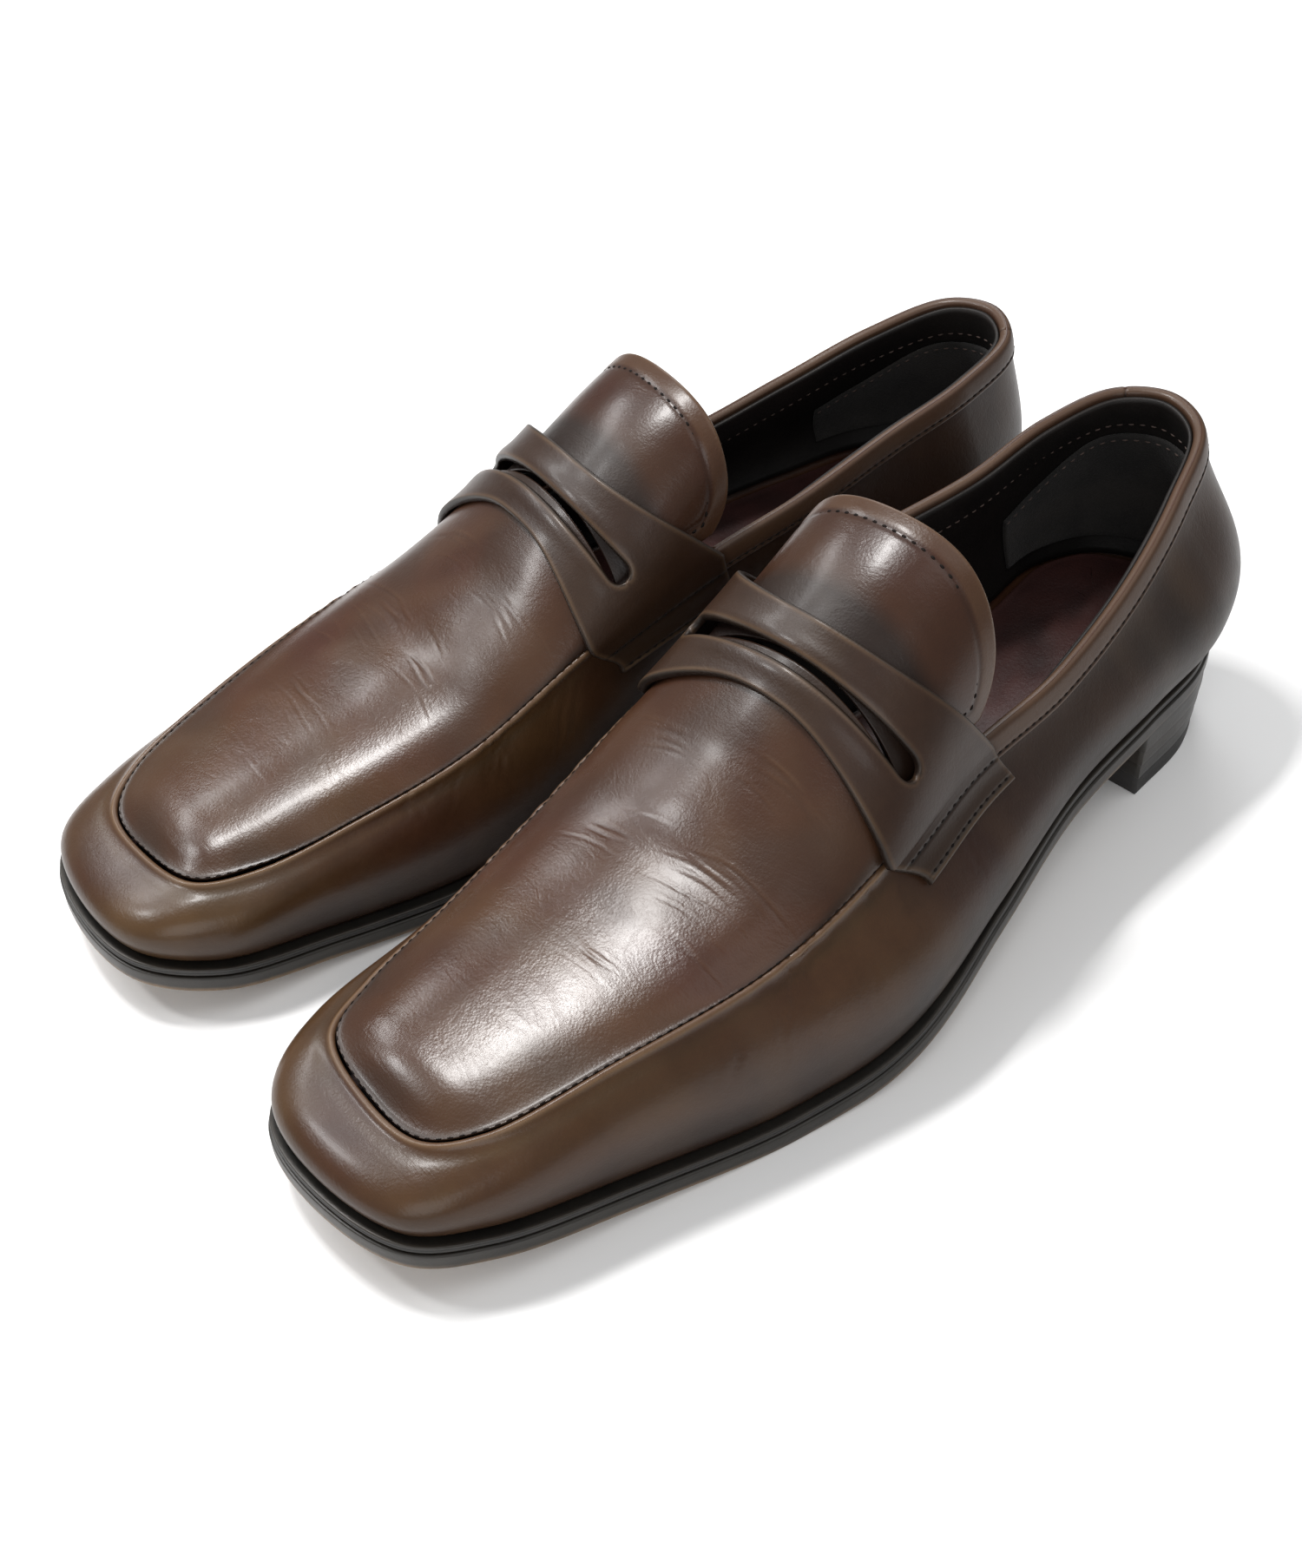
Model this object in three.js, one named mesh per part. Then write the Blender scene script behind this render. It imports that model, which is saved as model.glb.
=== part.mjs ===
// Pair of men's penny loafers, cemented leather construction with a stacked heel.
// Millimetres, +Z up, toes towards -Y. One left shoe is built and mirrored for the right shoe.
import * as THREE from 'three';

// ---------- driving dimensions ----------
const SHOE_LENGTH = 299;       // tip of the sole to the back of the sole
const BALL_WIDTH = 102;        // widest extent of the sole, side to side
const HEEL_HEIGHT = 24.5;      // ground to the underside of the sole at the back
const TOE_SPRING = 12;         // ground to the underside of the sole at the tip
const INSTEP_SCALE = 1;        // multiplies every height of the upper above the sole
const PAIR_SPACING = 96.8;     // heel centre to heel centre
const TOE_OUT = 5.37;          // degrees each shoe is turned out
const GAP = 0.3;               // glue and fitting clearance between neighbouring pieces
const OUTSOLE_T = 4.5;
const WELT_T = 2.0;
const LEATHER_T = 1.6;         // upper leather
const LINING_T = 1.0;
const STIFFENER_T = 0.9;       // toe puff and heel counter
const INSOLE_T = 2.0;
const SOCK_T = 1.0;
const STRAP_T = 2.1;
const TOP_LIFT_T = 6.0;        // rubber heel piece
const LIFT_T = 4.7;            // each leather heel lift
const BREAST_Y = 92;           // front face of the heel
const MARGIN = 12;             // upper leather turned in under the insole

// ---------- shape of the last ----------
// Stations run once round the shoe: heel back, outer side, toe, inner side.
const SOLE_EDGE = [
  [0.5, 147], [21.5, 140], [32.5, 121.5], [36, 93.5], [39.5, 56], [48.5, 16], [55, -21],
  [49, -57], [38.5, -95.5], [29, -130.5], [18, -147], [-7.5, -152], [-31, -146.5],
  [-43, -129], [-44.5, -98], [-45.5, -62], [-41.5, -25], [-31.5, 12], [-25, 54],
  [-28, 94], [-30.5, 122], [-20.5, 140],
];
// Upper edge of the wall: topline behind the strap, moccasin seam in front of it.
// The third value is the rise above the underside of the sole.
const WALL_EDGE = [
  [-2.5, 143, 64.5], [11.5, 137, 63], [20.5, 115.5, 57.5], [27, 88.5, 49], [31, 55, 43],
  [33, 16, 46.5], [38, -20, 46.5], [37.5, -55, 45], [28.5, -94, 37], [19, -122.5, 27],
  [8.5, -133, 23], [-10.5, -133.5, 22.5], [-29, -127.5, 24.5], [-35, -112.5, 27.5],
  [-37.5, -88, 34.5], [-40, -54.5, 44.5], [-39, -20.5, 53.5], [-36, 18, 56.5],
  [-32.5, 53.5, 55.5], [-26.5, 87.5, 57], [-24, 115.5, 61], [-16.5, 136.5, 63.5],
];
const FEATHER_INSET = [
  2.5, 2.5, 2.5, 2.5, 2.5, 2.5, 3, 3.2, 3.5, 3.5, 3.5, 3.5, 3.5, 3.5, 3.5, 3.5, 2.5, 1.5, 1, 2, 2.5, 2.5,
];
const LOW_BULGE = [
  13, 17.5, 17.5, 14.5, 12, 10.5, 8, 6, 6, 6.2, 6.5, 6.5, 6.5, 6.2, 5.5, 5, 5, 7, 8, 8, 6.5, 8,
];
const HIGH_BULGE = [
  4, 4, 4, 3, 2.5, 3, 6, 4, 3.5, 3.5, 4.5, 4.5, 4.5, 3.5, 3, 2.5, 2.5, 2.5, 1.5, 1.5, 3, 4,
];
const LOW_PULL = [
  0.45, 0.45, 0.45, 0.45, 0.5, 0.55, 0.6, 0.65, 0.7, 0.75, 0.75,
  0.75, 0.75, 0.75, 0.7, 0.65, 0.6, 0.55, 0.5, 0.45, 0.45, 0.45,
];
const HIGH_PULL = [
  0.4, 0.4, 0.4, 0.4, 0.4, 0.38, 0.25, 0.2, 0.15, 0.12, 0.1,
  0.1, 0.1, 0.12, 0.15, 0.2, 0.25, 0.38, 0.4, 0.4, 0.4, 0.4,
];
const STATIONS = SOLE_EDGE.length;
// Underside of the sole: y, share of TOE_SPRING, share of HEEL_HEIGHT.
const SOLE_LINE = [
  [-153, 1, 0], [-120, 0.52, 0], [-90, 0.17, 0], [-60, 0, 0], [-40, 0, 0.05], [-10, 0, 0.33],
  [30, 0, 0.65], [70, 0, 0.835], [110, 0, 0.92], [151, 0, 1],
];
// Crest of the apron and tongue: y, rise above the underside of the sole, x.
const CREST = [
  [-134, 22.5, -8], [-126, 28, -8], [-115, 32, -7.5], [-100, 37.3, -7], [-85, 42, -6],
  [-60, 51, -4.5], [-40, 59.8, -3.5], [-20, 70.3, -2], [0, 81.3, -1], [15, 88.7, -0.5],
  [32, 93.5, -0.5],
];
// Roundness of the sections across the instep: y, spread of the crest, lift of the sides.
const ROUNDNESS = [[-134, 0.45, 0.5], [-60, 0.45, 0.5], [-20, 0.47, 0.45], [5, 0.6, 0.5], [30, 0.9, 0.55]];

// ---------- interpolation ----------
const SX = BALL_WIDTH / 102;
const SY = SHOE_LENGTH / 299;

// Smooth monotone curve through [position, value] pairs.
function along(table, column, at) {
  const n = table.length;
  const y = Math.min(Math.max(at / SY, table[0][0]), table[n - 1][0]);
  const slope = (i) => (table[i + 1][column] - table[i][column]) / (table[i + 1][0] - table[i][0]);
  const tangent = (i) => {
    if (i === 0) return slope(0);
    if (i === n - 1) return slope(n - 2);
    const a = slope(i - 1);
    const b = slope(i);
    return a * b <= 0 ? 0 : (2 * a * b) / (a + b);
  };
  let k = 0;
  while (k < n - 2 && y > table[k + 1][0]) k += 1;
  const h = table[k + 1][0] - table[k][0];
  const w = (y - table[k][0]) / h;
  const w2 = w * w;
  const w3 = w2 * w;
  return table[k][column] * (2 * w3 - 3 * w2 + 1) + table[k + 1][column] * (3 * w2 - 2 * w3)
    + tangent(k) * h * (w3 - 2 * w2 + w) + tangent(k + 1) * h * (w3 - w2);
}

// Smooth closed curve through one value per station.
function around(list, u) {
  const n = list.length;
  const i = Math.floor(u);
  const w = u - i;
  const p = [-1, 0, 1, 2].map((k) => list[(((i + k) % n) + n) % n]);
  return p[1] + 0.5 * w * (p[2] - p[0]
    + w * (2 * p[0] - 5 * p[1] + 4 * p[2] - p[3] + w * (3 * (p[1] - p[2]) + p[3] - p[0])));
}

const soleZ = (y) => TOE_SPRING * along(SOLE_LINE, 1, y) + HEEL_HEIGHT * along(SOLE_LINE, 2, y);
const closedCurve = (rows) => new THREE.CatmullRomCurve3(
  rows.map(([x, y, z]) => new THREE.Vector3(x * SX, y * SY, z)), true, 'centripetal');
const soleCurve = closedCurve(SOLE_EDGE.map(([x, y]) => [x, y, 0]));
const edgeCurve = closedCurve(WALL_EDGE.map(([x, y, rise]) => [
  x, y, soleZ(y * SY) + rise * INSTEP_SCALE]));
const onCurve = (curve, u) => curve.getPoint((((u / STATIONS) % 1) + 1) % 1);

function outward(curve, u) {
  const a = onCurve(curve, u - 0.02);
  const b = onCurve(curve, u + 0.02);
  return new THREE.Vector3(a.y - b.y, b.x - a.x, 0).normalize();
}

// Closed loop moved inwards in plan, then read as left and right edge at a given y.
function insetLoop(curve, inset) {
  const steps = 264;
  const loop = [];
  for (let i = 0; i < steps; i += 1) {
    const u = (i * STATIONS) / steps;
    loop.push(onCurve(curve, u).addScaledVector(outward(curve, u), -inset(u)));
  }
  return loop;
}

function sideAt(loop, y, sign) {
  let best = null;
  loop.forEach((p, i) => {
    const q = loop[(i + 1) % loop.length];
    if ((p.y - y) * (q.y - y) > 0 || p.y === q.y) return;
    const r = p.clone().lerp(q, (y - p.y) / (q.y - p.y));
    if (best === null || r.x * sign > best.x * sign) best = r;
  });
  return best;
}

const spanY = (loop) => [Math.min(...loop.map((p) => p.y)), Math.max(...loop.map((p) => p.y))];

// ---------- surfaces ----------
const SEAT_Z = OUTSOLE_T + WELT_T + 2 * GAP;           // underside of the turned-in margin
const featherLoop = (inset) => insetLoop(soleCurve, (u) => around(FEATHER_INSET, u) + inset);

// Outer face of the wall: t 0 at the sole, 1 at the seam or topline.
function wallPoint(u, t) {
  const n = outward(soleCurve, u);
  const foot = onCurve(soleCurve, u).addScaledVector(n, -around(FEATHER_INSET, u));
  foot.z = soleZ(foot.y) + SEAT_Z;
  const edge = onCurve(edgeCurve, u);
  const rise = edge.z - foot.z;
  const low = foot.clone().addScaledVector(n, around(LOW_BULGE, u));
  low.z += rise * around(LOW_PULL, u);
  const high = edge.clone().addScaledVector(n, around(HIGH_BULGE, u));
  high.z -= rise * around(HIGH_PULL, u);
  const s = 1 - t;
  return foot.multiplyScalar(s * s * s).addScaledVector(low, 3 * s * s * t)
    .addScaledVector(high, 3 * s * t * t).addScaledVector(edge, t * t * t);
}

const edgeLoop = insetLoop(edgeCurve, () => 0);
const [EDGE_MIN] = spanY(edgeLoop);

// Outer face of apron, tongue and strap: side +1 at the outer seam, 0 crest, -1 inner seam.
function topPoint(y, side) {
  const yy = Math.max(y, EDGE_MIN + 0.05);
  const foot = sideAt(edgeLoop, yy, side < 0 ? -1 : 1);
  const crest = new THREE.Vector3(
    along(CREST, 2, y) * SX, yy, soleZ(yy) + along(CREST, 1, y) * INSTEP_SCALE);
  const spread = along(ROUNDNESS, 1, y);
  const lift = along(ROUNDNESS, 2, y);
  const dz = crest.z - foot.z;
  const low = foot.clone();
  low.z += dz * lift;
  const high = crest.clone();
  high.x += (foot.x - crest.x) * spread;
  const t = 1 - Math.abs(side);
  const s = 1 - t;
  return foot.multiplyScalar(s * s * s).addScaledVector(low, 3 * s * s * t)
    .addScaledVector(high, 3 * s * t * t).addScaledVector(crest, t * t * t);
}

// Side value whose point lies at a given x.
function sideOfX(y, x, sign) {
  let lo = 0;
  let hi = 1;
  for (let i = 0; i < 24; i += 1) {
    const mid = (lo + hi) / 2;
    if (topPoint(y, sign * mid).x * sign < x * sign) lo = mid;
    else hi = mid;
  }
  return sign * lo;
}

// Unit normal of surface f(a, b), pointing away from the foot.
function normalOf(f, a, b) {
  const e = 0.02;
  const da = f(a + e, b).sub(f(a - e, b));
  const db = f(a, b + e).sub(f(a, b - e));
  return db.cross(da).normalize();
}

// ---------- solids from sheets ----------
// A sheet is a grid of point pairs [outer, inner]; cells can be left out with skip(i, j).
function sheetSolid(grid, loopRows, skip = () => false) {
  const rows = grid.length;
  const cols = grid[0].length;
  const position = [];
  grid.forEach((row) => row.forEach((pair) => pair.forEach((p) => position.push(p.x, p.y, p.z))));
  const at = (i, j, k) => (((i % rows) * cols) + j) * 2 + k;
  const index = [];
  const quad = (a, b, c, d) => index.push(a, b, c, a, c, d);
  const lastRow = loopRows ? rows : rows - 1;
  const filled = (i, j) => {
    const r = loopRows ? (i + rows) % rows : i;
    return r >= 0 && r < lastRow && j >= 0 && j < cols - 1 && !skip(r, j);
  };
  for (let i = 0; i < lastRow; i += 1) {
    for (let j = 0; j < cols - 1; j += 1) {
      if (!filled(i, j)) continue;
      quad(at(i, j, 0), at(i + 1, j, 0), at(i + 1, j + 1, 0), at(i, j + 1, 0));
      quad(at(i, j, 1), at(i, j + 1, 1), at(i + 1, j + 1, 1), at(i + 1, j, 1));
      if (!filled(i, j - 1)) quad(at(i, j, 0), at(i, j, 1), at(i + 1, j, 1), at(i + 1, j, 0));
      if (!filled(i, j + 1)) {
        quad(at(i, j + 1, 0), at(i + 1, j + 1, 0), at(i + 1, j + 1, 1), at(i, j + 1, 1));
      }
      if (!filled(i - 1, j)) quad(at(i, j, 0), at(i, j + 1, 0), at(i, j + 1, 1), at(i, j, 1));
      if (!filled(i + 1, j)) {
        quad(at(i + 1, j, 0), at(i + 1, j, 1), at(i + 1, j + 1, 1), at(i + 1, j + 1, 0));
      }
    }
  }
  return outwardFacing(position, index);
}

function outwardFacing(position, index) {
  let volume = 0;
  const p = (k) => new THREE.Vector3().fromArray(position, index[k] * 3);
  for (let k = 0; k < index.length; k += 3) volume += p(k).dot(p(k + 1).cross(p(k + 2)));
  const order = volume < 0 ? index.slice().reverse() : index;
  const geometry = new THREE.BufferGeometry();
  geometry.setAttribute('position', new THREE.Float32BufferAttribute(position, 3));
  geometry.setIndex(order);
  geometry.computeVertexNormals();
  return geometry;
}

const steps = (from, to, count) => Array.from({ length: count + 1 }, (_, i) => (
  from + ((to - from) * i) / count));
const eased = (from, to, count) => steps(0, Math.PI, count).map((a) => (
  from + ((to - from) * (1 - Math.cos(a))) / 2));

// Sheet over surface f between two depths below its outer face.
function skin(f, as, bs, depthOut, depthIn) {
  const grid = as.map((a) => bs(a).map((b) => {
    const p = f(a, b);
    const n = normalOf(f, a, b);
    const depth = (d) => (typeof d === 'function' ? d(a, b) : d);
    return [p.clone().addScaledVector(n, -depth(depthOut)),
      p.clone().addScaledVector(n, -depth(depthIn))];
  }));
  return sheetSolid(grid, false);
}

// Plate that follows the sole: a loop in plan between two heights.
// Every plate shares the same cross rows, so neighbouring plates bend alike.
const ROW_PITCH = 12;
function plate(loop, from, to, cols, low, high) {
  const [y0, y1] = spanY(loop);
  const a = Math.max(from, y0 + 0.15);
  const b = Math.min(to, y1 - 0.15);
  const inner = steps(-156, 156, 312 / ROW_PITCH).filter((y) => y > a + 6 && y < b - 6);
  const nose = from < y0 ? [a, a + 1.2, a + 4] : [a];
  const tail = to > y1 ? [b - 4, b - 1.2, b] : [b];
  const ys = [...nose, ...inner, ...tail];
  const grid = ys.map((y) => {
    const right = sideAt(loop, y, 1);
    const left = sideAt(loop, y, -1);
    return steps(0, 1, cols).map((w) => {
      const x = left.x + (right.x - left.x) * w;
      return [new THREE.Vector3(x, y, high(y)), new THREE.Vector3(x, y, low(y))];
    });
  });
  return sheetSolid(grid, false);
}

// ---------- materials ----------
const MATERIALS = {
  calf: { color: 0x4a2f26, roughness: 0.38, metalness: 0 },
  lining: { color: 0x1c1716, roughness: 0.7, metalness: 0 },
  suede: { color: 0x241f1e, roughness: 0.9, metalness: 0 },
  sock: { color: 0x4b241f, roughness: 0.55, metalness: 0 },
  soleEdge: { color: 0x17140f, roughness: 0.45, metalness: 0 },
  stiffener: { color: 0xb9a88a, roughness: 0.85, metalness: 0 },
  insoleBoard: { color: 0xa98b66, roughness: 0.85, metalness: 0 },
  cork: { color: 0xa5794c, roughness: 0.95, metalness: 0 },
  steel: { color: 0x8d9298, roughness: 0.4, metalness: 1 },
  rubber: { color: 0x131313, roughness: 0.8, metalness: 0 },
};

function addPiece(shoe, name, geometry, material) {
  const piece = new THREE.Mesh(geometry, new THREE.MeshStandardMaterial(MATERIALS[material]));
  piece.name = name;
  shoe.add(piece);
}

// ---------- depths shared by the layers of the upper ----------
const UNDER_LEATHER = LEATHER_T + GAP;
const UNDER_STIFFENER = UNDER_LEATHER + STIFFENER_T + GAP;
const smooth = (a, b, v) => {
  const w = Math.min(Math.max((v - a) / (b - a), 0), 1);
  return w * w * (3 - 2 * w);
};
// Shortest way round the loop from station u to a centre station.
const away = (u, centre) => Math.abs(((((u - centre) % STATIONS) + STATIONS * 1.5) % STATIONS)
  - STATIONS / 2);
const PUFF_HALF = 3.5;
const COUNTER_HALF = 3.5;
const TOE_STATION = 11.5;
const stiffened = (u) => Math.max(
  1 - smooth(PUFF_HALF + 0.15, PUFF_HALF + 1, away(u, TOE_STATION)),
  1 - smooth(COUNTER_HALF + 0.15, COUNTER_HALF + 1, away(u, 0)));
const liningDepth = (u) => UNDER_LEATHER + (UNDER_STIFFENER - UNDER_LEATHER) * stiffened(u);

// Height share t at which the wall clears the insole board level by a given amount.
function wallT(u, above) {
  let lo = 0;
  let hi = 1;
  const goal = SEAT_Z + LEATHER_T + GAP + above;
  for (let i = 0; i < 20; i += 1) {
    const mid = (lo + hi) / 2;
    const p = wallPoint(u, mid);
    if (p.z - soleZ(p.y) < goal) lo = mid;
    else hi = mid;
  }
  return lo;
}

// ---------- bottom of the shoe ----------
function addBottom(shoe) {
  const edge = insetLoop(soleCurve, () => 0);
  const overSole = (h) => (y) => soleZ(y) + h;
  const all = [-400, 400];
  addPiece(shoe, 'outsole', plate(edge, ...all, 4, overSole(0), overSole(OUTSOLE_T)), 'soleEdge');

  const weltLow = OUTSOLE_T + GAP;
  const weltRows = steps(0, STATIONS, 44).slice(0, 44);
  const welt = weltRows.map((u) => {
    const n = outward(soleCurve, u);
    const rim = onCurve(soleCurve, u).addScaledVector(n, -0.6);
    const inner = rim.clone().addScaledVector(n, -(around(FEATHER_INSET, u) + 9));
    return [rim, inner].map((p) => [
      new THREE.Vector3(p.x, p.y, soleZ(p.y) + weltLow + WELT_T),
      new THREE.Vector3(p.x, p.y, soleZ(p.y) + weltLow)]);
  });
  addPiece(shoe, 'welt', sheetSolid(welt, true), 'soleEdge');

  const voidLoop = featherLoop(MARGIN + 2.5);
  const fillLow = overSole(OUTSOLE_T + 1.5 * GAP);
  const fillHigh = overSole(SEAT_Z + LEATHER_T);
  addPiece(shoe, 'cork_filler', plate(voidLoop, -400, -22, 3, fillLow, fillHigh), 'cork');
  const shankLoop = insetLoop(soleCurve, (u) => around(FEATHER_INSET, u) + 19);
  addPiece(shoe, 'shank', plate(
    shankLoop, -14, 104, 2, fillLow, overSole(SEAT_Z + LEATHER_T)), 'steel');

  const boardLow = SEAT_Z + LEATHER_T + 2 * GAP;
  const boardHigh = boardLow + INSOLE_T;
  addPiece(shoe, 'insole', plate(
    featherLoop(6), ...all, 3, overSole(boardLow), overSole(boardHigh)), 'insoleBoard');
  addPiece(shoe, 'sock_liner', plate(
    featherLoop(6.4), ...all, 3, overSole(boardHigh + GAP),
    overSole(boardHigh + GAP + SOCK_T)), 'sock');
}

// ---------- heel ----------
function addHeel(shoe) {
  const flat = (z) => () => z;
  const liftTop = (k) => TOP_LIFT_T + k * (LIFT_T + GAP);
  const layers = [
    ['top_lift', 1.6, flat(0), flat(TOP_LIFT_T), 'rubber'],
    ['heel_lift_1', 1.2, flat(TOP_LIFT_T + GAP), flat(liftTop(1)), 'soleEdge'],
    ['heel_lift_2', 0.8, flat(liftTop(1) + GAP), flat(liftTop(2)), 'soleEdge'],
    ['heel_base', 0.4, flat(liftTop(2) + GAP), (y) => soleZ(y) - GAP, 'soleEdge'],
  ];
  layers.forEach(([name, inset, low, high, material]) => {
    const loop = insetLoop(soleCurve, () => inset);
    addPiece(shoe, name, plate(loop, BREAST_Y + inset, 400, 3, low, high), material);
  });
}

// ---------- upper ----------
// Every layer of the wall shares these stations and heights, so the layers stay parallel.
// The second height clears the turned-in margin, which grows with the leather.
const WALL_TS = [0.03, 0.0875 * LEATHER_T, 0.3, 0.48, 0.66, 0.83, 1];
const stationRange = (from, to) => steps(from, to, (to - from) * 2);

function addUpper(shoe) {
  // Wall with its lasting margin turned in flat under the insole.
  const wallRows = steps(0, STATIONS, 44).slice(0, 44);
  const wall = wallRows.map((u) => {
    const n = outward(soleCurve, u);
    const foot = wallPoint(u, 0);
    const turned = [MARGIN, MARGIN / 2, 1.6].map((d) => {
      const p = foot.clone().addScaledVector(n, -d);
      p.z = soleZ(p.y) + SEAT_Z;
      return [p, p.clone().setZ(p.z + LEATHER_T)];
    });
    const standing = WALL_TS.map((t) => {
      const p = wallPoint(u, t);
      const m = normalOf(wallPoint, u, t);
      return [p, p.clone().addScaledVector(m, -LEATHER_T)];
    });
    return [...turned, ...standing];
  });
  addPiece(shoe, 'upper_wall', sheetSolid(wall, true), 'calf');

  const frontU = stationRange(6, 16.5);
  const rearU = stationRange(-5, 5.5);
  const sharedT = (above, top) => (u) => {
    const first = wallT(u, above);
    const last = typeof top === 'function' ? top(u) : top;
    return [first, ...WALL_TS.filter((t) => t > first + 0.04 && t < last - 0.04), last];
  };
  const layer = (us, ts, out, thick) => skin(
    wallPoint, us, ts, out, (u, t) => out(u, t) + thick);
  addPiece(shoe, 'vamp_lining', layer(frontU, sharedT(0.4, 0.955), liningDepth, LINING_T), 'lining');
  addPiece(shoe, 'quarter_lining', layer(rearU, sharedT(0.4, 1), liningDepth, LINING_T), 'lining');
  const between = () => UNDER_LEATHER;
  addPiece(shoe, 'toe_puff', layer(
    stationRange(TOE_STATION - PUFF_HALF, TOE_STATION + PUFF_HALF), sharedT(0.4, 0.9), between,
    STIFFENER_T), 'stiffener');
  addPiece(shoe, 'heel_counter', layer(
    stationRange(-COUNTER_HALF, COUNTER_HALF), sharedT(0.4, 0.8), between,
    STIFFENER_T), 'stiffener');
  const gripTop = (u) => 0.8 - 0.08 * (away(u, 0) / 2.5) ** 3;
  addPiece(shoe, 'heel_grip', layer(
    stationRange(-2.5, 2.5), (u) => [...WALL_TS.slice(1, 5), gripTop(u)],
    (u) => liningDepth(u) + LINING_T + GAP, 0.7), 'suede');
  addBinding(shoe);
}

// Leather binding folded over the topline, seen from strap to strap round the heel.
function addBinding(shoe) {
  const thick = 0.8;
  const rows = stationRange(-4.5, 4.5).map((u) => {
    const low = WALL_TS[WALL_TS.length - 2];
    const [top, under] = [1, low].map((t) => [wallPoint(u, t), normalOf(wallPoint, u, t)]);
    const reach = top[0].distanceTo(under[0]);
    const inner = liningDepth(u) + LINING_T + GAP;
    const spot = (depth, drop) => {
      const [p, q] = [top, under].map(([at, n]) => at.clone().addScaledVector(n, -depth));
      return p.lerp(q, drop / reach);
    };
    return [
      [spot(-GAP - thick, 6), spot(-GAP, 6)],
      [spot(-GAP - thick, 0), spot(-GAP, 0)],
      [spot(-GAP, -GAP - thick), spot(-GAP, -GAP)],
      [spot(inner, -GAP - thick), spot(inner, -GAP)],
      [spot(inner + thick, 0), spot(inner, 0)],
      [spot(inner + thick, 4.5), spot(inner, 4.5)],
    ];
  });
  addPiece(shoe, 'topline_binding', sheetSolid(rows, false), 'calf');
}

// ---------- apron, tongue and strap ----------
// Shared sections across and along the instep keep the layers parallel.
const SIDES = [0.87, 0.74, 0.6, 0.4, 0.2, 0, -0.2, -0.4, -0.6, -0.74, -0.87];
const APRON_YS = [-8, -16, -24, -33, -42, -52, -64, -76, -88, -100, -111, -120, -126, -129.5];

// Plan distance from the seam of a point that lies a given way from it over the top surface.
const seamInset = (reach) => (u) => {
  const foot = onCurve(edgeCurve, u);
  const sign = u < STATIONS / 2 ? 1 : -1;
  let lo = 0.3;
  let hi = 1;
  for (let i = 0; i < 20; i += 1) {
    const mid = (lo + hi) / 2;
    if (topPoint(foot.y, sign * mid).distanceTo(foot) > reach) lo = mid;
    else hi = mid;
  }
  const plan = Math.min(reach, Math.abs(topPoint(foot.y, sign * hi).x - foot.x));
  return reach + (plan - reach) * smooth(-118 * SY, -95 * SY, foot.y);
};

function addTop(shoe) {
  const seam = insetLoop(edgeCurve, seamInset(2.1));
  const seamMin = spanY(seam)[0] + 0.1;
  const acrossSeam = (loop) => (y) => {
    const right = sideOfX(y, sideAt(loop, y, 1).x, 1);
    const left = sideOfX(y, sideAt(loop, y, -1).x, -1);
    return [right, ...SIDES.map((a) => (a / 0.95) * (a < 0 ? -left : right)), left];
  };
  const rowsTo = (first, last) => [
    ...APRON_YS.filter((y) => y <= first && y * SY > last + 1.5).map((y) => y * SY), last];
  addPiece(shoe, 'apron', skin(
    topPoint, rowsTo(-8, seamMin), acrossSeam(seam), 0, LEATHER_T), 'calf');
  const plugSeam = insetLoop(edgeCurve, seamInset(4.6));
  addPiece(shoe, 'plug_lining', skin(
    topPoint, rowsTo(-27, spanY(plugSeam)[0] + 0.1), acrossSeam(plugSeam),
    UNDER_LEATHER, UNDER_LEATHER + LINING_T), 'lining');

  // Tongue: a wide tab with rounded corners, its front end butted to the apron under the strap.
  const tabEnd = (side) => (29.5 + 2 * side * side - 15 * Math.abs(side) ** 9) * SY;
  const tabSide = 0.93;
  const depth = UNDER_LEATHER + 0.2;
  const onTongue = (w, side) => topPoint(
    w * tabEnd(side) + (1 - w) * (-7.6 * SY), side);
  const tongueRows = steps(0, 1, 7);
  addPiece(shoe, 'tongue', skin(
    onTongue, tongueRows, () => [tabSide, ...SIDES, -tabSide], depth, depth + 1.4), 'calf');
  addPiece(shoe, 'tongue_lining', skin(
    onTongue, steps(0, 0.985, 7), () => [tabSide - 0.01, ...SIDES, 0.01 - tabSide],
    depth + 1.4 + GAP, depth + 2.3 + GAP), 'lining');
}

// Station of the wall whose upper edge lies at a given y.
function stationAt(y, sign) {
  let [lo, hi] = sign > 0 ? [3.5, 9] : [18.5, 13];
  for (let i = 0; i < 22; i += 1) {
    const mid = (lo + hi) / 2;
    if (onCurve(edgeCurve, mid).y > y) lo = mid;
    else hi = mid;
  }
  return lo;
}

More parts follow.
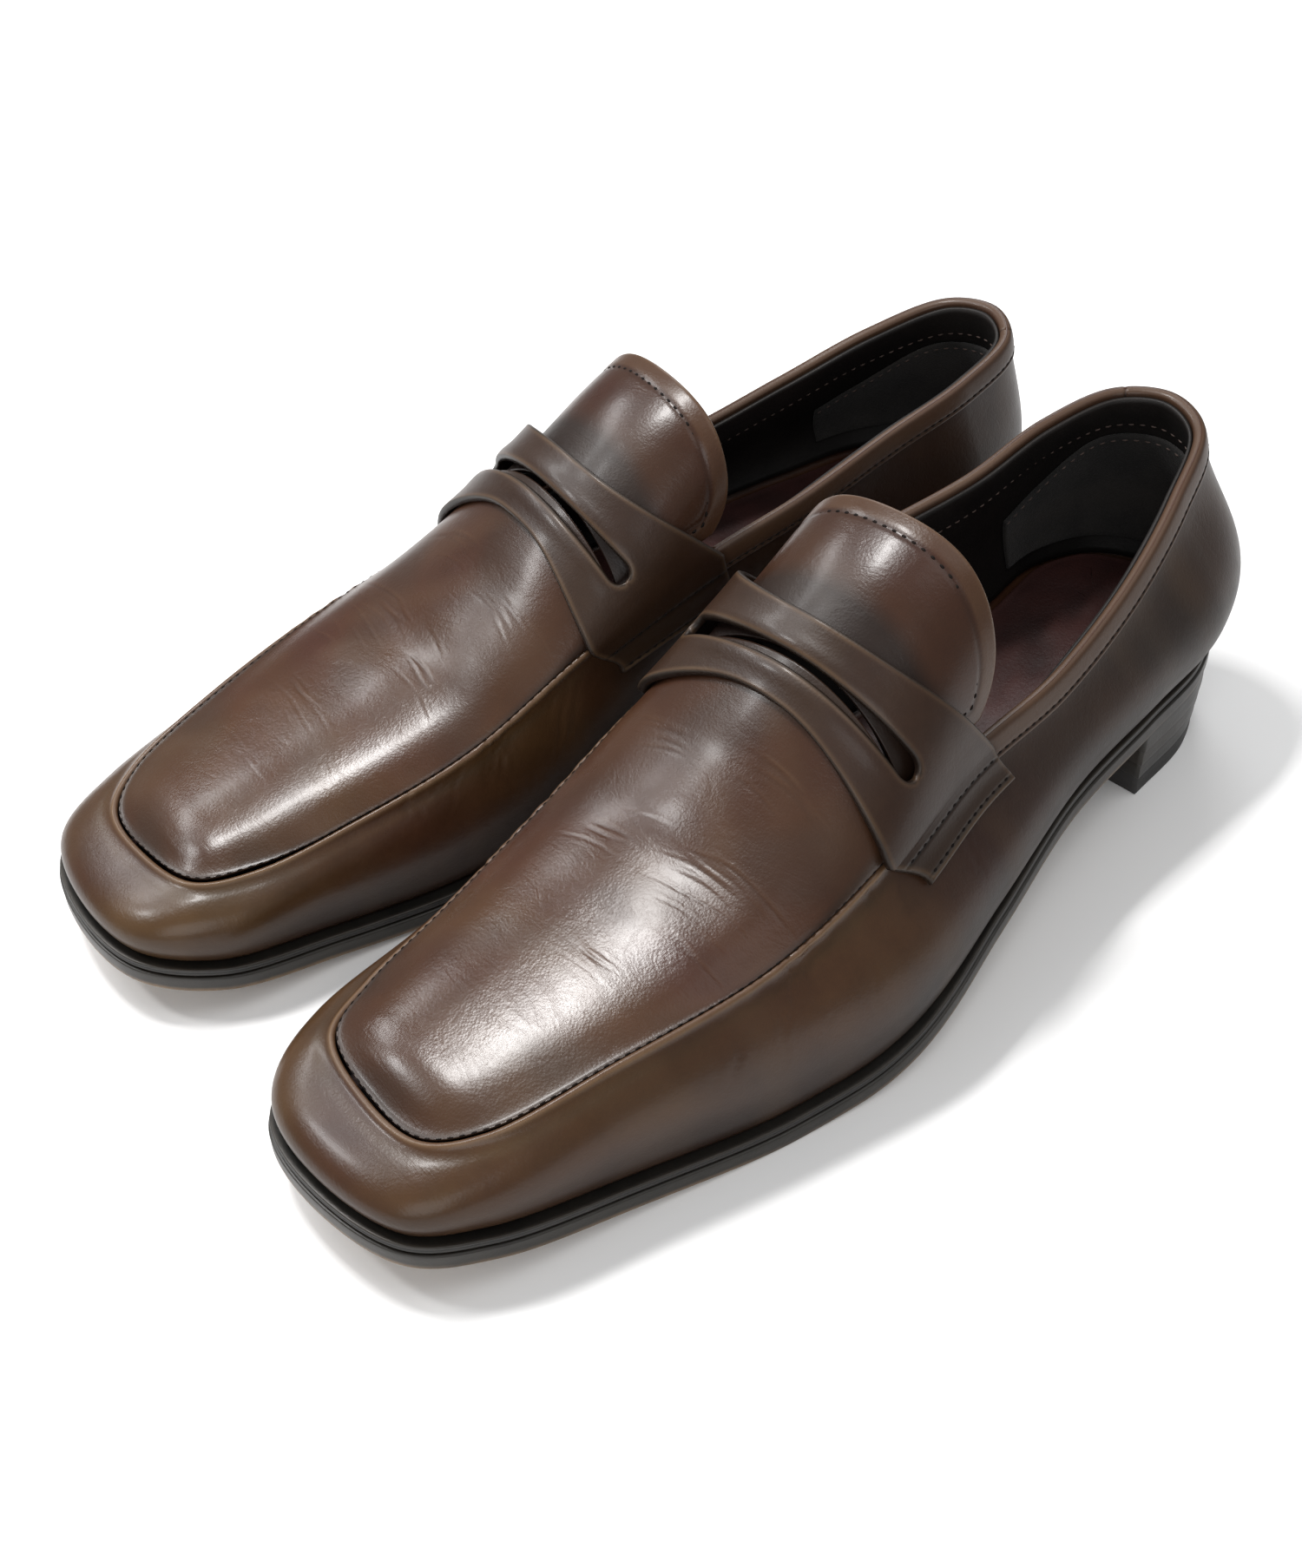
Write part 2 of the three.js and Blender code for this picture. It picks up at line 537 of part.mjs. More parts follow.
// Saddle strap across the instep, with the coin slot and a tab stitched down on each side.
function addStrap(shoe) {
  const frontY = (a) => (-16.2 - 3.2 * smooth(0.1, 0.8, Math.abs(a))
    + 9 * smooth(0.9, 1.45, Math.abs(a))) * SY;
  const rearY = (a) => (0.7 + 23 * Math.min(Math.abs(a), 1) ** 2.1
    + 3 * smooth(1, 1.45, Math.abs(a))) * SY;
  const slotFront = (a) => (-9.8 + 4.5 * a * a) * SY;
  const slotRear = (a) => (-6.2 + 13 * a * a) * SY;
  const slotEnd = 0.74;
  const tabDrop = 0.3;
  const base = (a, y) => {
    const sign = a < 0 ? -1 : 1;
    const over = Math.abs(a) - 1;
    if (over <= 0) return topPoint(y, a);
    return wallPoint(stationAt(y, sign), 1 - (over / 0.45) * tabDrop);
  };
  const arc = [1.45, 1.3, 1.15, 1.04, 0.96, 0.87, slotEnd, 0.6, 0.4, 0.2, 0];
  const as = [...arc, ...arc.slice(0, -1).reverse().map((a) => -a)];
  const ends = as.map((a, i) => [Math.abs(a) <= slotEnd ? i : -1]).flat().filter((i) => i >= 0);
  const columns = (a) => {
    const inside = Math.min(Math.abs(a), slotEnd);
    const blend = 1 - smooth(slotEnd, 1.2, Math.abs(a));
    const f = frontY(a);
    const r = rearY(a);
    const even = (w) => f + (r - f) * w;
    const sf = slotFront(inside) * blend + even(0.36) * (1 - blend);
    const sr = slotRear(inside) * blend + even(0.64) * (1 - blend);
    return [f, (f + sf) / 2, sf, sr, (sr + r) / 2, r];
  };
  const points = as.map((a) => columns(a).map((y) => base(a, y)));
  const normalAt = (i, j) => {
    const row = (k) => points[Math.min(Math.max(k, 0), points.length - 1)];
    const along1 = row(i + 1)[j].clone().sub(row(i - 1)[j]);
    const last = points[i].length - 1;
    const cross = points[i][Math.min(j + 1, last)].clone().sub(points[i][Math.max(j - 1, 0)]);
    return cross.cross(along1).normalize();
  };
  const lift = (a) => 1.5 * GAP + 0.4 * smooth(0.85, 1, Math.abs(a)) * (1 - smooth(1.1, 1.3, Math.abs(a)));
  const grid = points.map((row, i) => row.map((p, j) => {
    const n = normalAt(i, j);
    const low = lift(as[i]);
    return [p.clone().addScaledVector(n, low + STRAP_T), p.clone().addScaledVector(n, low)];
  }));
  const skip = (i, j) => j === 2 && i >= ends[0] && i < ends[ends.length - 1];
  addPiece(shoe, 'strap', sheetSolid(grid, false, skip), 'calf');
}

// ---------- the pair ----------
function buildShoe(prefix) {
  const shoe = new THREE.Group();
  [addBottom, addHeel, addUpper, addTop, addStrap].forEach((add) => add(shoe));
  shoe.children.forEach((piece) => {
    piece.name = `${prefix}_${piece.name}`;
  });
  return shoe;
}

const group = new THREE.Group();
group.name = 'penny_loafers';
[['left', 1], ['right', -1]].forEach(([prefix, sign]) => {
  const shoe = buildShoe(prefix);
  shoe.scale.x = sign;
  shoe.rotation.z = sign * THREE.MathUtils.degToRad(TOE_OUT);
  shoe.position.x = (sign * PAIR_SPACING) / 2;
  group.add(shoe);
});
group.updateMatrixWorld(true);
const middle = new THREE.Box3().setFromObject(group, true).getCenter(new THREE.Vector3());
group.children.forEach((shoe) => {
  shoe.position.y -= middle.y;
});

export default group;
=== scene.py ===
import math

import bmesh
import bpy
import numpy as np
from mathutils import Matrix, Vector


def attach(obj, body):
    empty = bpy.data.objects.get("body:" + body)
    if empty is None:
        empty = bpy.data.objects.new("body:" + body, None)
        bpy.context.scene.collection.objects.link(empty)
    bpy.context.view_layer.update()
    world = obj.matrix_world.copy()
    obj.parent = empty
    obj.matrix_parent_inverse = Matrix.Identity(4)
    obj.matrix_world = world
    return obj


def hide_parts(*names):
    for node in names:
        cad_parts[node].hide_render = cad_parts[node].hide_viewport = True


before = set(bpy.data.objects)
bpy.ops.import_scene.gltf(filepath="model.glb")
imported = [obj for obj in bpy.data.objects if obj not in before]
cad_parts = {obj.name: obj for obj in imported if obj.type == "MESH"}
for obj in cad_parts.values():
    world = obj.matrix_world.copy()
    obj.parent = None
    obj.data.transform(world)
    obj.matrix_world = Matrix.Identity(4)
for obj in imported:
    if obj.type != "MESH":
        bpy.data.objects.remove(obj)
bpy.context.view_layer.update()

# ---------- the last, in millimetres, as in the CAD part ----------
HEEL_HEIGHT, TOE_SPRING = 24.5, 12
PAIR_SPACING, TOE_OUT, CENTRE_Y = 96.8, 5.37, 1.335
GAP, OUTSOLE_T, WELT_T, LEATHER_T, LINING_T = 0.3, 4.5, 2.0, 1.6, 1.0
STIFFENER_T, INSOLE_T, SOCK_T, STRAP_T = 0.9, 2.0, 1.0, 2.1
TOP_LIFT_T, LIFT_T, BREAST_Y, MARGIN = 6.0, 4.7, 92, 12
SEAT_Z = OUTSOLE_T + WELT_T + 2 * GAP
SOLE_EDGE = [
    [0.5, 147], [21.5, 140], [32.5, 121.5], [36, 93.5], [39.5, 56], [48.5, 16], [55, -21],
    [49, -57], [38.5, -95.5], [29, -130.5], [18, -147], [-7.5, -152], [-31, -146.5],
    [-43, -129], [-44.5, -98], [-45.5, -62], [-41.5, -25], [-31.5, 12], [-25, 54],
    [-28, 94], [-30.5, 122], [-20.5, 140]]
WALL_EDGE = [
    [-2.5, 143, 64.5], [11.5, 137, 63], [20.5, 115.5, 57.5], [27, 88.5, 49], [31, 55, 43],
    [33, 16, 46.5], [38, -20, 46.5], [37.5, -55, 45], [28.5, -94, 37], [19, -122.5, 27],
    [8.5, -133, 23], [-10.5, -133.5, 22.5], [-29, -127.5, 24.5], [-35, -112.5, 27.5],
    [-37.5, -88, 34.5], [-40, -54.5, 44.5], [-39, -20.5, 53.5], [-36, 18, 56.5],
    [-32.5, 53.5, 55.5], [-26.5, 87.5, 57], [-24, 115.5, 61], [-16.5, 136.5, 63.5]]
FEATHER_INSET = [2.5, 2.5, 2.5, 2.5, 2.5, 2.5, 3, 3.2, 3.5, 3.5, 3.5,
                 3.5, 3.5, 3.5, 3.5, 3.5, 2.5, 1.5, 1, 2, 2.5, 2.5]
LOW_BULGE = [13, 17.5, 17.5, 14.5, 12, 10.5, 8, 6, 6, 6.2, 6.5, 6.5, 6.5, 6.2, 5.5, 5, 5, 7, 8, 8, 6.5, 8]
HIGH_BULGE = [4, 4, 4, 3, 2.5, 3, 6, 4, 3.5, 3.5, 4.5, 4.5, 4.5, 3.5, 3, 2.5, 2.5, 2.5, 1.5, 1.5, 3, 4]
LOW_PULL = [0.45, 0.45, 0.45, 0.45, 0.5, 0.55, 0.6, 0.65, 0.7, 0.75, 0.75,
            0.75, 0.75, 0.75, 0.7, 0.65, 0.6, 0.55, 0.5, 0.45, 0.45, 0.45]
HIGH_PULL = [0.4, 0.4, 0.4, 0.4, 0.4, 0.38, 0.25, 0.2, 0.15, 0.12, 0.1,
             0.1, 0.1, 0.12, 0.15, 0.2, 0.25, 0.38, 0.4, 0.4, 0.4, 0.4]
SOLE_LINE = [[-153, 1, 0], [-120, 0.52, 0], [-90, 0.17, 0], [-60, 0, 0], [-40, 0, 0.05], [-10, 0, 0.33],
             [30, 0, 0.65], [70, 0, 0.835], [110, 0, 0.92], [151, 0, 1]]
CREST = [[-134, 22.5, -8], [-126, 28, -8], [-115, 32, -7.5], [-100, 37.3, -7], [-85, 42, -6],
         [-60, 51, -4.5], [-40, 59.8, -3.5], [-20, 70.3, -2], [0, 81.3, -1], [15, 88.7, -0.5], [32, 93.5, -0.5]]
ROUNDNESS = [[-134, 0.45, 0.5], [-60, 0.45, 0.5], [-20, 0.47, 0.45], [5, 0.6, 0.5], [30, 0.9, 0.55]]
STATIONS = len(SOLE_EDGE)


# ---------- interpolation ----------
def smooth(a, b, v):
    w = np.clip((np.asarray(v, float) - a) / (b - a), 0, 1)
    return w * w * (3 - 2 * w)


def bell(v, centre, width):
    return np.exp(-((v - centre) / width) ** 2)


def along(table, column, at):
    """Smooth monotone curve through the rows of a table."""
    t = np.array(table, float)
    x, f = t[:, 0], t[:, column]
    y = np.clip(at, x[0], x[-1])
    s = np.diff(f) / np.diff(x)
    prod = s[:-1] * s[1:]
    mid = np.where(prod <= 0, 0, 2 * prod / np.where(prod <= 0, 1, s[:-1] + s[1:]))
    m = np.concatenate([[s[0]], mid, [s[-1]]])
    k = np.clip(np.searchsorted(x, y) - 1, 0, len(x) - 2)
    h = x[k + 1] - x[k]
    w = (y - x[k]) / h
    return (f[k] * (2 * w**3 - 3 * w**2 + 1) + f[k + 1] * (3 * w**2 - 2 * w**3)
            + m[k] * h * (w**3 - 2 * w**2 + w) + m[k + 1] * h * (w**3 - w**2))


def around(values, u):
    """Smooth closed curve through one value per station."""
    v = np.array(values, float)
    i = np.floor(u).astype(int)
    w = u - i
    p = [v[(i + k) % len(v)] for k in (-1, 0, 1, 2)]
    return p[1] + 0.5 * w * (p[2] - p[0] + w * (2 * p[0] - 5 * p[1] + 4 * p[2] - p[3]
                                                + w * (3 * (p[1] - p[2]) + p[3] - p[0])))


def closed_curve(points, u):
    """Closed centripetal Catmull-Rom curve, one unit of u per point."""
    p = np.array(points, float)
    n = len(p)
    u = np.asarray(u, float) % n
    i = np.minimum(np.floor(u).astype(int), n - 1)
    w = (u - i)[..., None]
    p0, p1, p2, p3 = (p[(i + k) % n] for k in (-1, 0, 1, 2))
    d0, d1, d2 = (np.sqrt(np.linalg.norm(b - a, axis=-1))[..., None] for a, b in ((p0, p1), (p1, p2), (p2, p3)))
    t1 = ((p1 - p0) / d0 - (p2 - p0) / (d0 + d1) + (p2 - p1) / d1) * d1
    t2 = ((p2 - p1) / d1 - (p3 - p1) / (d1 + d2) + (p3 - p2) / d2) * d1
    return p1 + t1 * w + (-3 * p1 + 3 * p2 - 2 * t1 - t2) * w**2 + (2 * p1 - 2 * p2 + t1 + t2) * w**3


def sole_z(y):
    return TOE_SPRING * along(SOLE_LINE, 1, y) + HEEL_HEIGHT * along(SOLE_LINE, 2, y)


SOLE_POINTS = [[x, y, 0] for x, y in SOLE_EDGE]
EDGE_POINTS = [[x, y, float(sole_z(y)) + rise] for x, y, rise in WALL_EDGE]


def sole(u):
    return closed_curve(SOLE_POINTS, u)


def edge(u):
    return closed_curve(EDGE_POINTS, u)


def outward(curve, u):
    a, b = curve(np.asarray(u) - 0.02), curve(np.asarray(u) + 0.02)
    n = np.stack([a[..., 1] - b[..., 1], b[..., 0] - a[..., 0], 0 * a[..., 0]], -1)
    return n / np.linalg.norm(n, axis=-1, keepdims=True)


def unit(v):
    return v / np.maximum(np.linalg.norm(v, axis=-1, keepdims=True), 1e-9)


def bezier(a, b, c, d, t):
    t = np.asarray(t, float)[..., None]
    s = 1 - t
    return a * s**3 + b * 3 * s * s * t + c * 3 * s * t * t + d * t**3


def wall(u, t):
    """Outer face of the wall: t 0 at the sole, 1 at the seam or topline."""
    u, t = np.broadcast_arrays(np.asarray(u, float), np.asarray(t, float))
    n = outward(sole, u)
    foot = sole(u) - n * around(FEATHER_INSET, u)[..., None]
    foot[..., 2] = sole_z(foot[..., 1]) + SEAT_Z
    top = edge(u)
    rise = top[..., 2] - foot[..., 2]
    low = foot + n * around(LOW_BULGE, u)[..., None]
    low[..., 2] += rise * around(LOW_PULL, u)
    high = top + n * around(HIGH_BULGE, u)[..., None]
    high[..., 2] -= rise * around(HIGH_PULL, u)
    return bezier(foot, low, high, top, t)


def normal_of(f, a, b, e=0.02):
    return unit(np.cross(f(a, b + e) - f(a, b - e), f(a + e, b) - f(a - e, b)))


def wall_normal(u, t):
    return normal_of(wall, u, np.minimum(t, 0.99))


# Left and right edge of the top surface at a given y.
_u = np.linspace(0, STATIONS, 6601)[:-1]
_e = edge(_u)
_front = int(np.argmin(_e[:, 1]))
_back = int(np.argmax(_e[:, 1]))
_roll = np.roll(_e, -_back, axis=0)
_cut = (_front - _back) % len(_e)
SIDE = {1: _roll[:_cut + 1][::-1], -1: _roll[_cut:]}
EDGE_MIN = float(_e[_front, 1])


def top(y, side):
    """Outer face of apron, tongue and strap: side 1 at the outer seam, 0 crest, -1 inner seam."""
    y, side = np.broadcast_arrays(np.asarray(y, float), np.asarray(side, float))
    yy = np.maximum(y, EDGE_MIN + 0.05)
    foot = np.zeros(y.shape + (3,))
    for sign in (1, -1):
        rows = SIDE[sign]
        m = (side < 0) if sign < 0 else (side >= 0)
        for c in (0, 2):
            foot[..., c][m] = np.interp(yy[m], rows[:, 1], rows[:, c])
    foot[..., 1] = yy
    crest = np.stack([along(CREST, 2, y), yy, sole_z(yy) + along(CREST, 1, y)], -1)
    low, high = foot.copy(), crest.copy()
    low[..., 2] += (crest[..., 2] - foot[..., 2]) * along(ROUNDNESS, 2, y)
    high[..., 0] += (foot[..., 0] - crest[..., 0]) * along(ROUNDNESS, 1, y)
    return bezier(foot, low, high, crest, 1 - np.abs(side))


def side_of_x(y, x):
    """Side value whose point lies at a given x."""
    sign = np.where(x >= along(CREST, 2, y), 1.0, -1.0)
    lo, hi = np.zeros_like(x), np.ones_like(x)
    for _ in range(22):
        mid = (lo + hi) / 2
        under = top(y, sign * mid)[..., 0] * sign < x * sign
        lo, hi = np.where(under, mid, lo), np.where(under, hi, mid)
    return sign * lo


def top_normal(y, side):
    e = 0.02
    s = np.clip(side, -0.97, 0.97)
    n = np.cross(top(y, s + e) - top(y, s - e), top(y + 0.3, s) - top(y - 0.3, s))
    return unit(n)


# ---------- meshes ----------
RNG = np.random.default_rng(11)


def to_frame(p, sign):
    """From one left shoe, in millimetres, to its place in the pair, in metres."""
    a = math.radians(TOE_OUT)
    x = p[..., 0] * math.cos(a) - p[..., 1] * math.sin(a) + PAIR_SPACING / 2
    y = p[..., 0] * math.sin(a) + p[..., 1] * math.cos(a) + CENTRE_Y
    return np.stack([x * sign, y, p[..., 2]], -1) / 1000


def piece(name, verts, faces, material, stands_for=(), body="shoe", slot="calf", paint=None, weld=0.0):
    """Makes the piece on both shoes. paint is one colour (wear, dark, patina) per vertex, clipped to 0..1; dark
    carries darker tone and also painted shade.
    """
    for side in ("left", "right"):
        sign = 1 if side == "left" else -1
        v = to_frame(np.asarray(verts, float), sign)
        f = [tuple(q) for q in faces]
        if sign < 0:
            f = [q[::-1] for q in f]
        mesh = bpy.data.meshes.new(f"{side}_{name}")
        mesh.from_pydata(v.tolist(), [], f)
        if paint is not None:
            layer = mesh.color_attributes.new("paint", "FLOAT_COLOR", "POINT")
            rgba = np.ones((len(v), 4), np.float32)
            rgba[:, :3] = np.clip(paint, 0, 1)
            layer.data.foreach_set("color", rgba.ravel())
        mesh.update()
        obj = bpy.data.objects.new(f"{side}_{name}_look", mesh)
        bpy.context.scene.collection.objects.link(obj)
        bm = bmesh.new()
        bm.from_mesh(mesh)
        if weld:
            bmesh.ops.remove_doubles(bm, verts=bm.verts, dist=weld / 1000)
        bmesh.ops.dissolve_degenerate(bm, edges=bm.edges, dist=1e-7)
        bmesh.ops.recalc_face_normals(bm, faces=bm.faces)
        bm.to_mesh(mesh)
        bm.free()
        mesh.polygons.foreach_set("use_smooth", [True] * len(mesh.polygons))
        mesh.materials.append(material)
        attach(obj, f"{side}_{body}")
        if stands_for:
            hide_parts(*[f"{side}_{n}" for n in stands_for])


def grid_faces(rows, cols, loop_rows=False, loop_cols=False, start=0):
    r = np.arange(rows if loop_rows else rows - 1)
    c = np.arange(cols if loop_cols else cols - 1)
    i, j = np.meshgrid(r, c, indexing="ij")
    i2, j2 = (i + 1) % rows, (j + 1) % cols
    return np.stack([i * cols + j, i2 * cols + j, i2 * cols + j2, i * cols + j2], -1).reshape(-1, 4) + start


def shell(outer, inner, faces):
    """Closed body between two matching faces."""
    outer, inner = outer.reshape(-1, 3), inner.reshape(-1, 3)
    n = len(outer)
    faces = [[int(x) for x in f] for f in faces]
    count = {}
    for f in faces:
        for k in range(len(f)):
            a, b = f[k], f[(k + 1) % len(f)]
            key = (min(a, b), max(a, b))
            count.setdefault(key, []).append((a, b))
    rim = [e[0] for e in count.values() if len(e) == 1]
    quads = faces + [[x + n for x in f[::-1]] for f in faces]
    quads += [[b, a, a + n, b + n] for a, b in rim]
    return np.vstack([outer, inner]), quads


def rounded(depth, radius):
    """Drop of a sheet's face at a distance from its cut edge."""
    d = np.clip(depth, 0, radius)
    return radius - np.sqrt(np.maximum(radius**2 - (radius - d) ** 2, 0))


def crease_set():
    """Fine creases in bundles across the forefoot. Each crease is (y, x, length, tilt, depth, width)."""
    rows = []
    for y0, x0, count, spread, length, depth in (
            (-27, 14, 7, 2.2, 16, 0.10), (-31, -20, 6, 2.6, 14, 0.09), (-50, 12, 10, 3.0, 18, 0.13),
            (-54, -14, 8, 3.4, 15, 0.10), (-63, 20, 6, 2.4, 11, 0.08), (-77, 4, 6, 3.5, 16, 0.06),
            (-101, -6, 3, 2.5, 12, 0.04)):
        for _ in range(count):
            rows.append((y0 + RNG.normal(0, spread), x0 + RNG.normal(0, 5), length * RNG.uniform(0.3, 0.75),
                         RNG.normal(0.05, 0.06), 0.7 * depth * RNG.uniform(0.4, 1.2), RNG.uniform(0.24, 0.42)))
    return rows


CREASES = crease_set()


def creases(x, y):
    """Height change of the top of the forefoot where it flexes."""
    z = np.zeros_like(x)
    for y0, x0, length, tilt, depth, width in CREASES:
        line = y0 + tilt * (x - x0) + 0.35 * np.sin(0.22 * x + y0) - 0.006 * (x - x0) ** 2
        fall = np.exp(-((x - x0) / length) ** 4)
        d = (y - line) / width
        z -= depth * fall * (np.exp(-d * d) - 0.5 * bell(d, 2.0, 1.2))
    return z


def flex(x, y):
    """Broad soft rolls of the leather across the flexing zone."""
    roll = 0.8 * np.exp(-((y + 50 + 0.05 * x) / 6.5) ** 2) + 0.5 * np.exp(-((y + 28 - 0.03 * x) / 5) ** 2)
    roll += 0.35 * bell(y, -72, 7) - 0.45 * bell(y, -39, 7) - 0.35 * bell(y, -62, 6)
    return -roll * smooth(40, 16, np.abs(x + 3)) * (0.75 + 0.25 * np.sin(0.12 * x + 1.3))


def ripple(a, b, scale, seed):
    """Slow irregular swell, between about -1 and 1."""
    rng = np.random.default_rng(seed)
    out = np.zeros(np.broadcast(a, b).shape)
    for _ in range(7):
        k = rng.normal(0, 1, 2) / scale
        out = out + np.sin(k[0] * a + k[1] * b + rng.uniform(0, 6.28))
    return out / 4


# ---------- materials ----------
class Graph:
    """Short names for building a node tree."""

    def __init__(self, name):
        self.mat = bpy.data.materials.new(name)
        self.mat.use_nodes = True
        self.nt = self.mat.node_tree
        self.nt.nodes.clear()
        out, self.bsdf = self.node("OutputMaterial"), self.node("BsdfPrincipled")
        self.nt.links.new(self.bsdf.outputs[0], out.inputs[0])

    def node(self, kind, **inputs):
        n = self.nt.nodes.new("ShaderNode" + kind)
        for k, v in inputs.items():
            self.put(n, k, v)
        return n

    def put(self, n, key, v):
        socket = n.inputs[key.replace("_", " ") if isinstance(key, str) else key]
        if isinstance(v, bpy.types.NodeSocket):
            self.nt.links.new(v, socket)
        elif v is not None:
            socket.default_value = v

    def place(self):
        return self.node("TexCoord").outputs["Object"]

    def paint(self):
        a = self.node("Attribute")
        a.attribute_name = "paint"
        return self.node("SeparateColor", Color=a.outputs["Color"]).outputs[:3]

    def noise(self, scale, detail=4.0, rough=0.55, stretch=None, distortion=0.0):
        v = self.place()
        if stretch is not None:
            v = self.node("Mapping", Vector=v, Scale=stretch).outputs[0]
        n = self.node("TexNoise", Vector=v, Scale=scale, Detail=detail, Roughness=rough, Distortion=distortion)
        return n.outputs["Fac"]

    def cells(self, scale):
        return self.node("TexVoronoi", Vector=self.place(), Scale=scale).outputs["Distance"]

    def ramp(self, fac, stops):
        n = self.node("ValToRGB", Fac=fac)
        e = n.color_ramp.elements
        while len(e) < len(stops):
            e.new(0.5)
        for el, (pos, c) in zip(e, stops):
            el.position = pos
            el.color = (c, c, c, 1)
        return n.outputs["Color"]

    def mix(self, fac, a, b):
        n = self.node("Mix")
        n.data_type = "RGBA"
        for key, v in ((0, fac), (6, a), (7, b)):
            self.put(n, key, (*v, 1) if isinstance(v, tuple) else v)
        return n.outputs[2]

    def math(self, op, a, b=0.0, clamp=False):
        n = self.node("Math")
        n.operation = op
        n.use_clamp = clamp
        self.put(n, 0, a)
        self.put(n, 1, b)
        return n.outputs[0]

    def bump(self, height, strength, distance, normal=None):
        return self.node("Bump", Height=height, Strength=strength, Distance=distance, Normal=normal).outputs[0]

    def done(self, color, roughness, normal=None, **constants):
        for k, v in dict(Base_Color=color, Roughness=roughness, Normal=normal, **constants).items():
            self.put(self.bsdf, k, v)
        return self.mat


def calf(name, base, red, patina, worn, shade, gloss=(0.24, 0.42)):
    """Polished aniline calf with hand-burnished colour, fine pores and worn edges, plus painted shade from the
    paint's dark channel.
    """
    g = Graph(name)
    wear, dark, olive = g.paint()
    cloud = g.ramp(g.noise(19, 6, 0.62, distortion=0.5), [(0.38, 0.0), (0.62, 1.0)])
    fine = g.ramp(g.noise(95, 6, 0.65), [(0.3, 0.0), (0.72, 1.0)])
    streak = g.ramp(g.noise(45, 5, 0.6, stretch=(1.0, 0.3, 1.0)), [(0.4, 0.0), (0.75, 1.0)])
    color = g.mix(cloud, base, red)
    streaked = g.math("ADD", g.math("MULTIPLY", streak, 0.5), 0.55)
    color = g.mix(g.math("MULTIPLY", olive, streaked, True), color, patina)
    color = g.mix(g.math("MULTIPLY", fine, 0.28), color, shade)
    # The dark paint channel darkens towards the shade colour: partly the leather's darker burnish, partly painted
    # shade in creases, seam lines and under the strap.
    color = g.mix(dark, color, shade)
    scuffed = g.math("MULTIPLY", wear, g.math("ADD", g.math("MULTIPLY", fine, 0.5), 0.6), True)
    color = g.mix(scuffed, color, worn)
    pores = g.cells(1500)
    wrinkle = g.noise(420, 5, 0.6, distortion=0.6)
    folds = g.ramp(g.noise(62, 6, 0.62, stretch=(0.35, 1.4, 1.0), distortion=1.6),
                   [(0.46, 1.0), (0.5, 0.0), (0.54, 1.0)])
    n = g.bump(folds, 0.05, 0.0006)
    n = g.bump(wrinkle, 0.11, 0.0005, n)
    n = g.bump(pores, 0.07, 0.0003, n)
    rough = g.math("ADD", g.math("MULTIPLY", g.noise(70, 5, 0.6), gloss[1] - gloss[0]), gloss[0] - 0.02)
    rough = g.math("ADD", rough, g.math("MULTIPLY", g.math("ADD", wear, dark), 0.15))
    return g.done(color, rough, n, Coat_Weight=0.09, Coat_Roughness=0.15, Specular_IOR_Level=0.27)


def plain(name, a, b, scale, rough, grain_scale, bump, worn=None, **constants):
    """Mottled finish for trim: two colours by noise, with a fine surface grain."""
    g = Graph(name)
    color = g.mix(g.ramp(g.noise(scale, 6, 0.62), [(0.35, 0.0), (0.66, 1.0)]), a, b)
    if worn is not None:
        wear, dark, _ = g.paint()
        # The dark paint channel: on the sock liner it is painted shade in the wrinkle hollows.
        color = g.mix(dark, color, (0.004, 0.003, 0.003))
        color = g.mix(g.math("MULTIPLY", wear, g.math("ADD", g.noise(160, 4, 0.7), 0.25), True), color, worn)
    r = g.math("ADD", g.math("MULTIPLY", g.noise(scale * 3, 4, 0.6), 0.18), rough - 0.09)
    n = g.bump(g.noise(grain_scale, 5, 0.65), bump, 0.0004)
    n = g.bump(g.cells(grain_scale * 1.7), bump * 0.6, 0.0002, n)
    return g.done(color, r, n, **constants)


CALF = calf("calf_burnished", (0.060, 0.0265, 0.0130), (0.044, 0.0150, 0.0080), (0.080, 0.0455, 0.0155),
            (0.18, 0.108, 0.056), (0.0090, 0.0048, 0.0030))
CALF_TOP = calf("calf_apron", (0.058, 0.0225, 0.0115), (0.047, 0.0135, 0.0075), (0.080, 0.044, 0.0150),
                (0.18, 0.102, 0.052), (0.0105, 0.0046, 0.0030), gloss=(0.19, 0.33))
BINDING = calf("calf_binding", (0.048, 0.0225, 0.0128), (0.040, 0.0160, 0.0095), (0.08, 0.044, 0.019),
               (0.15, 0.086, 0.048), (0.0080, 0.0045, 0.0032), gloss=(0.36, 0.50))
LINING = plain("lining_leather", (0.0038, 0.0034, 0.0033), (0.0095, 0.0080, 0.0072), 40, 0.52, 900, 0.22,
               (0.03, 0.022, 0.019),
               Specular_IOR_Level=0.28)
SUEDE = plain("heel_grip_suede", (0.0085, 0.0076, 0.0072), (0.018, 0.0158, 0.0145), 70, 0.95, 1400, 0.9,
              (0.045, 0.036, 0.03),
              Sheen_Weight=0.06, Sheen_Roughness=0.4)
SOCK = plain("sock_leather", (0.050, 0.0150, 0.0125), (0.026, 0.0085, 0.0075), 30, 0.42, 700, 0.3,
             (0.10, 0.045, 0.038))
SOLE = plain("sole_edge_wax", (0.0062, 0.0058, 0.0050), (0.0140, 0.0122, 0.0098), 60, 0.42, 500, 0.2,
             (0.24, 0.15, 0.075))
RUBBER = plain("heel_rubber", (0.012, 0.011, 0.011), (0.028, 0.026, 0.025), 60, 0.7, 700, 0.3, (0.09, 0.08, 0.07))
THREAD = plain("thread_dark", (0.0045, 0.0030, 0.0025), (0.011, 0.0070, 0.0055), 300, 0.75, 2500, 0.4,
               Specular_IOR_Level=0.15)
THREAD_LIGHT = plain("thread_lining", (0.05, 0.032, 0.026), (0.085, 0.055, 0.045), 300, 0.6, 2500, 0.4)
